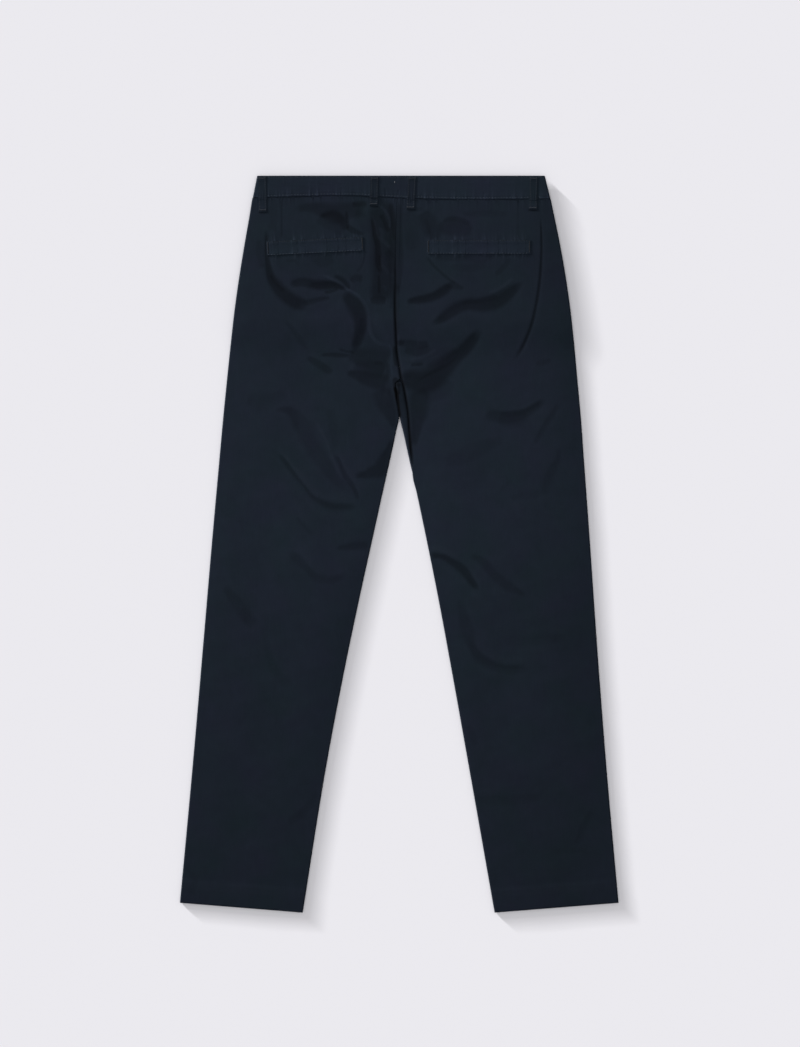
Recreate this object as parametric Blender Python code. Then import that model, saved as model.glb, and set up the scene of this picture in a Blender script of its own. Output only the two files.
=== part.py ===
"""Slim chino trousers lying flat with the back side up.

Every piece that is cut and sewn on is a solid of its own. Each leg is a flattened tube: a front
panel below and a back panel above, whose edges roll towards each other and stop at the side seam
and the inseam. The waistband, belt loops, pocket welts, fly and button lie on the panels.

Frame: +X points to the wearer's right, +Y to the waist and +Z up. The origin is on the floor under
the middle of the garment. Tables and sizes are in mm, and "below" is the distance below the top
edge of the waistband.
"""

import math
from collections import namedtuple

import bmesh
import bpy
import numpy as np
from mathutils import Vector
from mathutils.bvhtree import BVHTree

MM = 0.001
LEFT, RIGHT = -1, 1

# Driving dimensions, mm.
LENGTH = 1050.0             # waist to the lowest corner of the hems
LEG_GAP = 343.0             # waist to where the legs part
CROTCH_ROWS = (286.0, 296.0)    # last section of the seat, first section of the legs
INSEAM_END = 410.0          # the right inseam lies on top of the leg down to here
PANEL_TOP = 34.0            # where the panels' section at the waistband is measured
HEM_SLANT = 14.0            # the hem's outer corner is this much higher than its inner one
CLOTH = 1.2                 # wall thickness of a panel
BAND_CLOTH = 2.0            # wall thickness of the waistband: folded twill with its interlining
SEAM_GAP = 0.3              # between neighbouring pieces
EDGE_GAP = 0.6              # between front and back panel just inside a rolled edge
LIFT = 2.6                  # how far the pieces under the front hold its top part off the floor
LIFT_END = (200.0, 260.0)   # the front sinks to the floor between these distances below the waist
LOFT_RUN = 18.0             # the back rises to its loft over about this distance from an edge
SHOULDER = 0.7              # drop of a panel's edge at a seam that lies on top

EDGE_RADIUS = (2 * CLOTH + EDGE_GAP) / 2
BAND_RADIUS = (2 * BAND_CLOTH + EDGE_GAP) / 2
CORNER = math.radians(45)   # a rolled edge bends in two steps of this angle

# Silhouette: distance of the outer edges from the centre line, and the loft of the back panel.
Outline = namedtuple("Outline", "below left right loft")
OUTLINE = (
    Outline(0, 202.6, 207.4, 1.2),
    Outline(31, 208.8, 214.9, 1.6),
    Outline(70, 215.9, 223.5, 2.6),
    Outline(119, 224.3, 233.0, 3.0),
    Outline(176, 232.9, 241.9, 3.0),
    Outline(234, 239.9, 248.7, 3.0),
    Outline(291, 245.9, 254.0, 3.0),
    Outline(345, 251.3, 258.9, 3.0),
    Outline(400, 256.3, 262.9, 2.9),
    Outline(520, 267.1, 271.6, 2.8),
    Outline(660, 279.1, 281.3, 2.7),
    Outline(833, 294.1, 294.5, 2.2),
    Outline(LENGTH, 314.2, 313.8, 1.2),
)

# Inner edge of each leg, measured outwards from the centre line. The right leg laps over the
# centre line just below the crotch.
Inner = namedtuple("Inner", "below left right")
INNER = (
    Inner(CROTCH_ROWS[1], 5.3, -5.0),
    Inner(310, 3.6, -3.3),
    Inner(328, 2.3, -2.0),
    Inner(LEG_GAP, 0.3, 0.2),
    Inner(362, 4.1, 4.9),
    Inner(398, 11.8, 12.8),
    Inner(448, 23.0, 23.9),
    Inner(519, 38.7, 38.9),
    Inner(604, 57.4, 55.9),
    Inner(700, 77.5, 73.7),
    Inner(833, 102.8, 97.5),
    Inner(LENGTH, 137.8, 135.8),
)

# Seat seam, which runs on as the right inseam: x of the line and how deep it is drawn in.
SeatSeam = namedtuple("SeatSeam", "below x dip")
SEAT_SEAM = (
    SeatSeam(31, -3.0, 0.3),
    SeatSeam(100, -5.5, 0.8),
    SeatSeam(140, -7.4, 2.0),
    SeatSeam(180, -7.5, 2.2),
    SeatSeam(226, -5.3, 2.2),
    SeatSeam(251, -3.7, 2.2),
    SeatSeam(273, -0.5, 1.8),
    SeatSeam(288, 1.9, 1.4),
    SeatSeam(301, 5.6, 1.2),
    SeatSeam(316, 8.6, 1.0),
    SeatSeam(332, 11.3, 0.9),
    SeatSeam(366, 15.4, 0.7),
    SeatSeam(INSEAM_END, 18.6, 0.4),
)
SEAT_SEAM_WIDTH = 12.0

# Lower seam of the waistband.
BandSeam = namedtuple("BandSeam", "x below")
BAND_SEAM = (
    BandSeam(-209, 31.0),
    BandSeam(-45, 28.8),
    BandSeam(-3, 31.2),
    BandSeam(75, 33.4),
    BandSeam(215, 32.6),
)
BAND_LOFT = 0.9             # rise of the back band over its side edges

# Folds of the back: the bottom of a trough is an arc from one point to another that bows to the
# right of that direction, or to the left where bow is negative. A ridge has a negative depth.
Fold = namedtuple("Fold", "x0 below0 x1 below1 bow width depth")
FOLDS = (
    Fold(-103, 51, -58, 81, -5, 18, 1.4),       # above the left pocket
    Fold(-39, 36, -28, 190, 2, 18, 2.6),        # valley beside the seat seam
    Fold(-29, 42, -13, 122, -8, 13, -0.8),      # ridge on its inner side
    Fold(-202, 85, -140, 189, 14, 19, 2.6),     # left hip, turning in under the seat
    Fold(-150, 156, -66, 162, -9, 19, 2.2),     # under the left pocket
    Fold(-110, 144, -68, 158, -4, 13, -0.7),
    Fold(-82, 166, -53, 231, -16, 18, 2.5),     # left seat
    Fold(-53, 225, -13, 296, 6, 32, 2.3),
    Fold(-34, 178, -12, 241, 14, 15, -0.8),
    Fold(-133, 252, -88, 292, -1, 19, 1.3),
    Fold(-68, 279, -22, 291, 1, 17, 1.4),
    Fold(-165, 329, -60, 467, 0, 28, 1.8),      # left thigh
    Fold(-177, 390, -60, 469, 23, 24, 1.4),
    Fold(-89, 399, -45, 489, 0, 16, 1.4),
    Fold(-247, 584, -206, 636, -2, 26, 1.4),    # left knee
    Fold(-160, 533, -45, 547, 35, 30, 1.1),
    Fold(55, 91, 104, 65, -24, 17, 1.3),        # above the right pocket
    Fold(37, 115, 91, 159, 4, 16, 1.8),         # under the right pocket
    Fold(11, 179, 88, 155, 2, 22, 1.8),
    Fold(42, 214, 115, 181, -12, 20, 2.5),      # right seat
    Fold(106, 182, 166, 152, 10, 20, 2.2),
    Fold(2, 292, 118, 219, 16, 28, 2.6),
    Fold(0, 262, 57, 250, 9, 15, -0.8),
    Fold(-2, 238, 34, 248, 0, 17, 1.6),
    Fold(196, 44, 195, 176, -8, 16, 1.9),       # right hip
    Fold(196, 171, 159, 259, -9, 17, 2.1),
    Fold(125, 328, 205, 323, 12, 24, 1.3),      # right thigh
    Fold(216, 309, 196, 372, -2, 25, 1.2),
    Fold(221, 396, 196, 463, -1, 26, 1.1),
    Fold(44, 537, 114, 583, -11, 20, 1.9),      # right knee
    Fold(78, 593, 185, 703, 37, 28, 1.8),
    Fold(125, 887, 201, 881, 6, 30, 0.9),
)
FOLD_STEPS = 16             # straight steps that a fold's arc is measured by
FOLD_TAPER = 0.2            # share of its length over which a fold runs out at each end
TROUGH_SOFTNESS = 0.25      # rounding where a trough meets the front panel

# Rows and columns of the panels' grids.
SEAT_ROWS, THIGH_ROWS, LEG_ROWS = 26, 10, 21
BACK_COLUMNS, FRONT_COLUMNS = 19, 4
FINE_FRONT = (190.0, 420.0)     # the front has all the rows here, and every second one elsewhere
WRAP_START = 8.0                # the front is divided finely this close to a leg's inner edge
WRAP_COLUMNS = {LEFT: 4, RIGHT: 8}
WRAP_BEND_COLUMNS = 5           # of the right leg's, those round the bend where it laps over

# Belt loops: x of the top and of the bottom end, and where the bottom end is.
Loop = namedtuple("Loop", "name x_top x_bottom below_bottom")
BACK_LOOPS = (
    Loop("loop_side_left", -193.8, -193.0, 49.5),
    Loop("loop_back_left", -35.4, -36.6, 44.5),
    Loop("loop_back_right", 18.2, 15.8, 47.5),
    Loop("loop_side_right", 189.0, 188.2, 48.5),
)
FRONT_LOOPS = (
    Loop("loop_front_left", -98.0, -99.0, 48.0),
    Loop("loop_front_right", 98.0, 99.0, 48.0),
)
LOOP_WIDTH = 12.0
LOOP_THICK = 1.5
LOOP_TOP = 0.8              # a loop starts this far below the band's top edge
LOOP_SLACK = 0.7            # how far the middle of a loop stands off the band
LOOP_ROWS = 8

# Back pocket welts: the middles of both ends.
Welt = namedtuple("Welt", "name x0 below0 x1 below1")
WELTS = (
    Welt("welt_left", -189.0, 103.6, -51.0, 96.8),
    Welt("welt_right", 39.5, 101.4, 187.0, 101.4),
)
WELT_HEIGHT = 18.0
WELT_THICK = 1.2
WELT_ROWS = 14
STRIP_ROUNDING = 0.3        # the edges of a strip are this much thinner than its middle

# Pieces under the front.
UNDER_TOP = LIFT - SEAM_GAP
FLY_TOP = 34.5
FLY_LENGTH = 165.0
FLY_WIDTH = 38.0
FLY_BEND = 45.0             # height of the curve at its lower end
FLY_THICK = 1.2
BAND_LAP = 17.0             # the left front band laps this far past the centre front
POCKET_EDGE = (160.0, 36.0, 222.0, 178.0)   # x and below, at the band and at the side seam
POCKET_EDGE_WIDTH = 11.0
POCKET_EDGE_THICK = 1.2
BUTTON_X, BUTTON_BELOW = 4.0, 15.5
BUTTON_THICK = 2.3
BUTTON_SIDES = 24
ButtonRing = namedtuple("ButtonRing", "radius height")
BUTTON_PROFILE = (
    ButtonRing(0.0, BUTTON_THICK),          # back face, towards the band
    ButtonRing(7.0, BUTTON_THICK),
    ButtonRing(8.0, 0.7),                   # rim
    ButtonRing(7.5, 0.0),
    ButtonRing(6.6, 0.1),
    ButtonRing(4.6, 0.9),                   # dished middle
    ButtonRing(0.0, 0.9),
)

NAVY = (0.0085, 0.0125, 0.0195, 1.0)
DARK_HORN = (0.012, 0.013, 0.016, 1.0)


def curve_through(rows, at, column):
    """Return a smooth function that passes through one column of a table."""
    places = np.array([getattr(row, at) for row in rows], dtype=float)
    values = np.array([getattr(row, column) for row in rows], dtype=float)
    slopes = np.gradient(values, places)

    def value(where):
        where = np.clip(where, places[0], places[-1])
        low = np.clip(np.searchsorted(places, where) - 1, 0, len(places) - 2)
        span = places[low + 1] - places[low]
        part = (where - places[low]) / span
        rest = 1 - part
        level = values[low] * (1 + 2 * part) * rest ** 2 + values[low + 1] * (1 + 2 * rest) * part ** 2
        return level + span * part * rest * (slopes[low] * rest - slopes[low + 1] * part)

    return value


outer_edge = {
    LEFT: curve_through(OUTLINE, "below", "left"),
    RIGHT: curve_through(OUTLINE, "below", "right"),
}
inner_edge = {
    LEFT: curve_through(INNER, "below", "left"),
    RIGHT: curve_through(INNER, "below", "right"),
}
loft = curve_through(OUTLINE, "below", "loft")
seat_seam_x = curve_through(SEAT_SEAM, "below", "x")
seat_seam_dip = curve_through(SEAT_SEAM, "below", "dip")
band_seam = curve_through(BAND_SEAM, "x", "below")


def smooth_step(value, low, high):
    part = np.clip((value - low) / (high - low), 0, 1)
    return part * part * (3 - 2 * part)


def lift(below):
    """Height of the garment's underside over the floor."""
    return LIFT * (1 - smooth_step(below, *LIFT_END))


def fold_arc(fold):
    """Points along a fold's arc, as rows of (x, below)."""
    start = np.array((fold.x0, fold.below0), dtype=float)
    end = np.array((fold.x1, fold.below1), dtype=float)
    along = end - start
    across = np.array((-along[1], along[0])) / np.hypot(*along)
    middle = (start + end) / 2 + 2 * fold.bow * across
    part = np.linspace(0, 1, FOLD_STEPS + 1)[:, None]
    return start * (1 - part) ** 2 + middle * 2 * part * (1 - part) + end * part ** 2


def fold_depth(fold, x, below):
    """Depth of one fold at each point: rounded across its arc and running out at its ends."""
    arc = fold_arc(fold)
    nearest = np.full(np.shape(x), np.inf)
    place_along = np.zeros(np.shape(x))
    for step, (start, end) in enumerate(zip(arc, arc[1:])):
        along = end - start
        part = ((x - start[0]) * along[0] + (below - start[1]) * along[1]) / along.dot(along)
        part = np.clip(part, 0, 1)
        distance = np.hypot(x - start[0] - part * along[0], below - start[1] - part * along[1])
        place_along = np.where(distance < nearest, (step + part) / FOLD_STEPS, place_along)
        nearest = np.minimum(distance, nearest)
    taper = smooth_step(np.minimum(place_along, 1 - place_along), 0, FOLD_TAPER)
    return fold.depth * taper * np.exp(-(2 * nearest / fold.width) ** 2)


def back_height(side, x, below):
    """Height of the outer face of the back over the floor."""
    from_outer = outer_edge[side](below) - side * x
    from_inner = side * x - inner_edge[side](below)
    from_gap = np.hypot(x, LEG_GAP - below)
    from_edge = np.minimum(from_outer, np.where(below < LEG_GAP, from_gap, from_inner))
    inside = np.maximum(from_edge - EDGE_RADIUS, 0)
    lowest = lift(below) + 2 * EDGE_RADIUS
    above = loft(below) * (1 - np.exp(-inside / LOFT_RUN))
    for fold in FOLDS:
        above = above - fold_depth(fold, x, below)
    from_seam = (x - seat_seam_x(below)) / (SEAT_SEAM_WIDTH / 2)
    above = above - np.where(below < INSEAM_END, seat_seam_dip(below) * np.exp(-from_seam ** 2), 0)
    return lowest + TROUGH_SOFTNESS * np.logaddexp(0, above / TROUGH_SOFTNESS)


def points_at(x, below, height):
    """Return points in the garment's frame, in metres."""
    return np.stack(np.broadcast_arrays(x, LENGTH / 2 - below, height), axis=-1) * MM


def finished(name, form, material):
    """Turn a bmesh into a named object of the garment."""
    bmesh.ops.recalc_face_normals(form, faces=form.faces)
    mesh = bpy.data.meshes.new(name)
    form.to_mesh(mesh)
    form.free()
    mesh.materials.append(material)
    mesh.shade_smooth()
    mesh.set_sharp_from_angle(angle=CORNER)
    piece = bpy.data.objects.new(name, mesh)
    collection.objects.link(piece)
    piece.parent = garment
    return piece


def wall(name, sections):
    """Loft a closed wall through sections, each a row of outside and a row of inside points."""
    form = bmesh.new()
    outer = [[form.verts.new(point) for point in outside] for outside, _ in sections]
    inner = [[form.verts.new(point) for point in inside] for _, inside in sections]
    last_row, last_column = len(outer) - 1, len(outer[0]) - 1
    for r in range(last_row):
        for c in range(last_column):
            for grid in (outer, inner):
                form.faces.new((grid[r][c], grid[r + 1][c], grid[r + 1][c + 1], grid[r][c + 1]))
    rim = [(r, 0) for r in range(last_row)]
    rim += [(last_row, c) for c in range(last_column)]
    rim += [(r, last_column) for r in range(last_row, 0, -1)]
    rim += [(0, c) for c in range(last_column, 0, -1)]
    for (r0, c0), (r1, c1) in zip(rim, rim[1:] + rim[:1]):
        form.faces.new((outer[r0][c0], outer[r1][c1], inner[r1][c1], inner[r0][c0]))
    bmesh.ops.triangulate(form, faces=form.faces)
    return finished(name, form, twill)


def flat_columns(x, outside, thick):
    """Columns of a wall whose inside is straight under its outside, or over it if thick is negative.

    A section is built from blocks of such columns: x and height outside, then x and height inside.
    """
    return np.stack(np.broadcast_arrays(x, outside, x, outside - thick))


def rolled_columns(edge, outward, radius, thick, seam, flat):
    """Two columns that bend a wall round a side edge, from the height of the seam to the flat part.

    flat holds the heights of the flat part's outside and inside where the bend ends.
    """
    climb = np.array((0, math.sin(CORNER)))
    inset = np.array((0, 1 - math.cos(CORNER)))
    return np.stack((
        edge - outward * radius * inset,
        seam + (flat[0] - seam) * climb,
        edge - outward * (thick + (radius - thick) * inset),
        seam + (flat[1] - seam) * climb,
    ))


def section_points(columns, below):
    """Outside and inside points of a section."""
    x, outside, x_under, inside = columns
    return points_at(x, below, outside), points_at(x_under, below, inside)


def panel_rows():
    """Distances below the waist of the panels' sections; the first one follows the band's seam."""
    seat = np.linspace(PANEL_TOP + 8, CROTCH_ROWS[0], SEAT_ROWS)
    thigh = np.linspace(CROTCH_ROWS[1], INSEAM_END + 8, THIGH_ROWS)
    leg = np.linspace(INSEAM_END + 8, LENGTH, LEG_ROWS + 1)[1:]
    return np.concatenate(((PANEL_TOP,), seat, thigh, leg))


def front_rows():
    """The sections of the front: all those of the back in its fine part, every second elsewhere."""
    rows = panel_rows()
    fine = (rows > FINE_FRONT[0]) & (rows < FINE_FRONT[1])
    last = rows == LENGTH
    return rows[fine | last | (np.arange(len(rows)) % 2 == 0)]


def section_ends(side, row):
    """Inner and outer end of a leg's section, each as (x, below). Sections slant towards the hem."""
    slanted = row - HEM_SLANT * smooth_step(row, LEG_GAP, LENGTH)
    return (side * inner_edge[side](row), row), (side * outer_edge[side](slanted), slanted)


def below_along(side, row, x, x_in):
    """Distance below the waist of each point of a section."""
    if row == PANEL_TOP:
        return band_seam(x) + SEAM_GAP
    (_, below_in), (x_out, below_out) = section_ends(side, row)
    across = np.clip((x - x_in) / (x_out - x_in), 0, 1)
    return below_in + across * (below_out - below_in)


def back_section(side, row):
    """Section of a back panel, from the side seam to the seat seam or inseam."""
    (x_in, _), (x_out, below_out) = section_ends(side, row)
    seam_on_top = row < {LEFT: CROTCH_ROWS[1], RIGHT: INSEAM_END}[side]
    if seam_on_top:
        x_in = seat_seam_x(row) + side * SEAM_GAP / 2
    seam_level = EDGE_RADIUS + SEAM_GAP / 2
    x = np.linspace(x_out - side * EDGE_RADIUS, x_in + side * EDGE_RADIUS, BACK_COLUMNS)
    height = back_height(side, x, below_along(side, row, x, x_in))
    middle = flat_columns(x, height, CLOTH)
    outer = rolled_columns(x_out, side, EDGE_RADIUS, CLOTH, lift(below_out) + seam_level, middle[1::2, 0])
    if seam_on_top:
        x_end = x_in + side * np.array((EDGE_RADIUS / 3, 0))
        drop = SHOULDER * np.array((0.25, 1))
        inner = flat_columns(x_end, back_height(side, x_end, row) - drop, CLOTH)
    else:
        inner = rolled_columns(x_in, -side, EDGE_RADIUS, CLOTH, lift(row) + seam_level, middle[1::2, -1])
        inner = inner[:, ::-1]
    columns = np.concatenate((outer, middle, inner), axis=1)
    return section_points(columns, below_along(side, row, columns[0], x_in))


def back_panel(name, side):
    return wall(name, [back_section(side, row) for row in panel_rows()])


def front_section(side, row):
    """Section of a front panel, from the side seam to the centre front or inseam."""
    (x_in, _), (x_out, _) = section_ends(side, row)
    if row < CROTCH_ROWS[1]:
        x_in = side * SEAM_GAP / 2
    x = np.linspace(x_out - side * EDGE_RADIUS, x_in + side * WRAP_START, FRONT_COLUMNS)
    middle = flat_columns(x, 0.0, -CLOTH)
    outer = rolled_columns(x_out, side, EDGE_RADIUS, CLOTH, EDGE_RADIUS - SEAM_GAP / 2, (0, CLOTH))
    columns = np.concatenate((outer, middle, wrapped_columns(side, row, x_in)), axis=1)
    below = below_along(side, row, columns[0], x_in)
    columns[1::2] += lift(below)
    return section_points(columns, below)


def wrapped_columns(side, row, x_in):
    """Inner end of a front panel's section, its heights measured from the panel's underside.

    It is flat at the centre front and rolled up to the inseam on a leg. On the right leg, just
    below the crotch, it laps over the edge to the inseam on top.
    """
    count = WRAP_COLUMNS[side]
    if row < CROTCH_ROWS[1]:
        return flat_columns(np.linspace(x_in + side * WRAP_START, x_in, count + 1)[1:], 0.0, -CLOTH)
    thin_radius = EDGE_RADIUS - CLOTH
    centre = x_in + side * EDGE_RADIUS
    if side == LEFT or row > INSEAM_END:
        turn = np.linspace(0, math.pi / 2, count)
        seam = EDGE_RADIUS - SEAM_GAP / 2
        return np.stack((
            centre - side * EDGE_RADIUS * np.sin(turn),
            seam * (1 - np.cos(turn)),
            centre - side * thin_radius * np.sin(turn),
            seam - (seam - CLOTH) * np.cos(turn),
        ))
    turn = np.linspace(0, math.pi, WRAP_BEND_COLUMNS)
    x_top = np.linspace(centre, seat_seam_x(row) - SEAM_GAP / 2, count - WRAP_BEND_COLUMNS + 1)
    top = back_height(side, x_top, row) - lift(row)
    top[-1] -= SHOULDER
    bend = np.stack((
        centre - EDGE_RADIUS * np.sin(turn),
        top[0] * (1 - np.cos(turn)) / 2,
        centre - thin_radius * np.sin(turn),
        CLOTH + (top[0] - 2 * CLOTH) * (1 - np.cos(turn)) / 2,
    ))
    return np.concatenate((bend, flat_columns(x_top, top, CLOTH)[:, 1:]), axis=1)


def front_panel(name, side):
    return wall(name, [front_section(side, row) for row in front_rows()])


def band_edge(side, part):
    """x of the waistband's side edge, at a share of its height from the top."""
    return side * outer_edge[side](part * band_seam(side * outer_edge[side](0)))


def back_band(name):
    """Back waistband, from side seam to side seam."""
    sections = []
    for part in (0.0, 0.04, 0.35, 0.65, 0.96, 1.0):
        ends = band_edge(LEFT, part), band_edge(RIGHT, part)
        x = np.linspace(ends[0] + BAND_RADIUS, ends[1] - BAND_RADIUS, 15)
        inside = np.minimum(x - ends[0], ends[1] - x) - BAND_RADIUS
        under = LIFT + 2 * BAND_RADIUS - BAND_CLOTH + BAND_LOFT * (1 - np.exp(-inside / LOFT_RUN))
        thick = BAND_CLOTH - (0.5 if part in (0.0, 1.0) else 0.0)
        middle = flat_columns(x, under + thick, thick)
        seam = LIFT + BAND_RADIUS + SEAM_GAP / 2
        left = rolled_columns(ends[0], LEFT, BAND_RADIUS, BAND_CLOTH, seam, middle[1::2, 0])
        right = rolled_columns(ends[1], RIGHT, BAND_RADIUS, BAND_CLOTH, seam, middle[1::2, -1])
        columns = np.concatenate((left, middle, right[:, ::-1]), axis=1)
        sections.append(section_points(columns, part * band_seam(columns[0])))
    return wall(name, sections)


def front_band(name, side, x_closing):
    """One front waistband, from the side seam to the closing at the centre front."""
    sections = []
    for part in (0.0, 0.04, 0.96, 1.0):
        edge = band_edge(side, part)
        x = np.linspace(edge - side * BAND_RADIUS, x_closing, 8)
        thick = BAND_CLOTH - (0.5 if part in (0.0, 1.0) else 0.0)
        middle = flat_columns(x, LIFT + BAND_CLOTH - thick, -thick)
        seam = LIFT + BAND_RADIUS - SEAM_GAP / 2
        rolled = rolled_columns(edge, side, BAND_RADIUS, BAND_CLOTH, seam, middle[1::2, 0])
        columns = np.concatenate((rolled, middle), axis=1)
        sections.append(section_points(columns, part * band_seam(columns[0])))
    return wall(name, sections)


def height_over(pieces, x, below, reach):
    """Highest point of some pieces within reach of a point, in mm."""
    highest = 0.0
    for dx in np.linspace(-reach, reach, 5):
        for dy in np.linspace(-reach, reach, 5):
            above = Vector(points_at(x + dx, below + dy, 50.0))
            for tree in pieces:
                hit = tree.ray_cast(above, Vector((0, 0, -1)))[0]
                if hit is not None:
                    highest = max(highest, hit.z / MM)
    return highest


def strip_on(name, pieces, start, end, width, thick, rows, slack=0.0):
    """Lay a strip on the pieces under it, from start to end, its points moved out from theirs."""
    start, end = np.array(start), np.array(end)
    along = end - start
    across = np.array((-along[1], along[0])) / np.hypot(*along)
    reach = max(np.hypot(*along) / (rows - 1), width / 2) / 2
    sections = []
    for part in np.linspace(0, 1, rows):
        x, below = (start + along * part)[:, None] + across[:, None] * np.linspace(-1, 1, 3) * width / 2
        under = np.array([height_over(pieces, *spot, reach) for spot in zip(x, below)])
        under += SEAM_GAP + slack * math.sin(math.pi * part)
        edges = 1.0 if part in (0.0, 1.0) else np.array((1, 0, 1))
        over = under + thick - STRIP_ROUNDING * edges
        sections.append((points_at(x, below, over), points_at(x, below, under)))
    return wall(name, sections)


def plate_under(name, outline, thick):
    """Lay a flat piece under the front: an outline of (x, below) corners, extruded."""
    form = bmesh.new()
    corners = [form.verts.new(points_at(x, below, UNDER_TOP - thick)) for x, below in outline]
    face = form.faces.new(corners)
    grown = bmesh.ops.extrude_face_region(form, geom=[face])["geom"]
    top = [item for item in grown if isinstance(item, bmesh.types.BMVert)]
    bmesh.ops.translate(form, vec=(0, 0, thick * MM), verts=top)
    return finished(name, form, twill)


def strip_outline(x0, below0, x1, below1, width):
    """Corners of a straight strip, given the middles of its ends."""
    ends = np.array(((x0, below0), (x1, below1)))
    along = ends[1] - ends[0]
    across = np.array((-along[1], along[0])) / np.hypot(*along) * width / 2
    return [ends[0] - across, ends[1] - across, ends[1] + across, ends[0] + across]


def fly_outline():
    """Straight along the centre front, with its lower end curved into that edge."""
    turn = np.linspace(0, math.pi / 2, 7)
    x = -SEAM_GAP - FLY_WIDTH * np.cos(turn)
    below = FLY_TOP + FLY_LENGTH - FLY_BEND * (1 - np.sin(turn))
    return [(-SEAM_GAP, FLY_TOP), (-SEAM_GAP - FLY_WIDTH, FLY_TOP), *zip(x, below)]


def button(name):
    """Waist button: a dished disc, turned from its profile and lying face down."""
    form = bmesh.new()
    ring = [form.verts.new((step.radius * MM, 0, step.height * MM)) for step in BUTTON_PROFILE]
    edges = [form.edges.new(pair) for pair in zip(ring, ring[1:])]
    bmesh.ops.spin(form, geom=ring + edges, cent=(0, 0, 0), axis=(0, 0, 1), angle=2 * math.pi,
                   steps=BUTTON_SIDES, use_merge=True)
    bmesh.ops.remove_doubles(form, verts=form.verts, dist=0.00001)
    piece = finished(name, form, dark_horn)
    piece.location = points_at(BUTTON_X, BUTTON_BELOW, 0.0)
    return piece


def plain_material(name, colour, roughness):
    material = bpy.data.materials.new(name)
    material.use_nodes = True
    shader = material.node_tree.nodes["Principled BSDF"]
    shader.inputs["Base Color"].default_value = colour
    shader.inputs["Roughness"].default_value = roughness
    shader.inputs["Metallic"].default_value = 0.0
    return material


def build():
    backs = [back_panel("back_left", LEFT), back_panel("back_right", RIGHT)]
    front_panel("front_left", LEFT)
    front_panel("front_right", RIGHT)
    band = back_band("waistband_back")
    front_band("waistband_front_left", LEFT, BAND_LAP)
    front_band("waistband_front_right", RIGHT, BAND_LAP + SEAM_GAP)

    top = []
    for piece in (*backs, band):
        corners = [vertex.co for vertex in piece.data.vertices]
        top.append(BVHTree.FromPolygons(corners, [face.vertices for face in piece.data.polygons]))
    for loop in BACK_LOOPS:
        ends = (loop.x_top, LOOP_TOP), (loop.x_bottom, loop.below_bottom)
        strip_on(loop.name, top, *ends, LOOP_WIDTH, LOOP_THICK, LOOP_ROWS, slack=LOOP_SLACK)
    for welt in WELTS:
        ends = (welt.x0, welt.below0), (welt.x1, welt.below1)
        strip_on(welt.name, top, *ends, WELT_HEIGHT, WELT_THICK, WELT_ROWS)

    for loop in FRONT_LOOPS:
        ends = loop.x_top, LOOP_TOP, loop.x_bottom, loop.below_bottom
        plate_under(loop.name, strip_outline(*ends, LOOP_WIDTH), LOOP_THICK)
    for name, side in (("pocket_edge_left", LEFT), ("pocket_edge_right", RIGHT)):
        x0, below0, x1, below1 = POCKET_EDGE
        corners = strip_outline(side * x0, below0, side * x1, below1, POCKET_EDGE_WIDTH)
        plate_under(name, corners, POCKET_EDGE_THICK)
    plate_under("fly", fly_outline(), FLY_THICK)
    button("button")


for old in list(bpy.data.objects):
    bpy.data.objects.remove(old, do_unlink=True)
collection = bpy.data.collections.new("chino_trousers")
bpy.context.scene.collection.children.link(collection)
garment = bpy.data.objects.new("trousers_frame", None)
collection.objects.link(garment)
twill = plain_material("navy_twill", NAVY, 0.85)
dark_horn = plain_material("dark_horn", DARK_HORN, 0.35)
build()
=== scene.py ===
"""Looks of slim chino trousers, laid flat with the back up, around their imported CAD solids.

Every cloth piece is a closed thin shell on its solid's form, on a grid fine enough for its creases,
seams and puckers. The sewing threads are meshes of their own.

Tables and sizes are in mm, in the solids' frame: x points to the wearer's right, "below" is the
distance below the top edge of the waistband, and heights are measured from the floor.
"""

import math
from collections import namedtuple

import bmesh
import bpy
import numpy as np
from mathutils import Matrix, Vector


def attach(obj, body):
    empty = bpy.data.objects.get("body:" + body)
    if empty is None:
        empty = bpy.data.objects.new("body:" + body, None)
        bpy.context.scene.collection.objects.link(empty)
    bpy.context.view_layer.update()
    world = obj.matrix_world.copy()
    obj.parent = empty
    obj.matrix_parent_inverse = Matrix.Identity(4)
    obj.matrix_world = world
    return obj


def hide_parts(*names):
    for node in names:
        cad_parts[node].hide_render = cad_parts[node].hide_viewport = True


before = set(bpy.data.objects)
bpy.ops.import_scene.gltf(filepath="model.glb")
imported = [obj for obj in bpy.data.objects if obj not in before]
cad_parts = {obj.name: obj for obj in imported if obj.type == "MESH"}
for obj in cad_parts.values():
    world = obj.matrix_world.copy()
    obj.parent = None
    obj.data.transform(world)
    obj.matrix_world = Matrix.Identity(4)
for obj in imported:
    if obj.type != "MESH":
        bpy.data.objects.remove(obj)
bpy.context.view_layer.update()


def table(columns, *rows):
    """Rows of values in named columns. The last value is 0 where a row leaves it out."""
    kind = namedtuple("Row", columns, defaults=(0.0,))
    return tuple(kind(*row) for row in rows)


MM = 0.001
LEFT, RIGHT = -1, 1
SIDES = ((LEFT, "left"), (RIGHT, "right"))
PREFIX = "cloth_"           # of the names of the pieces that stand for solids

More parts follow.
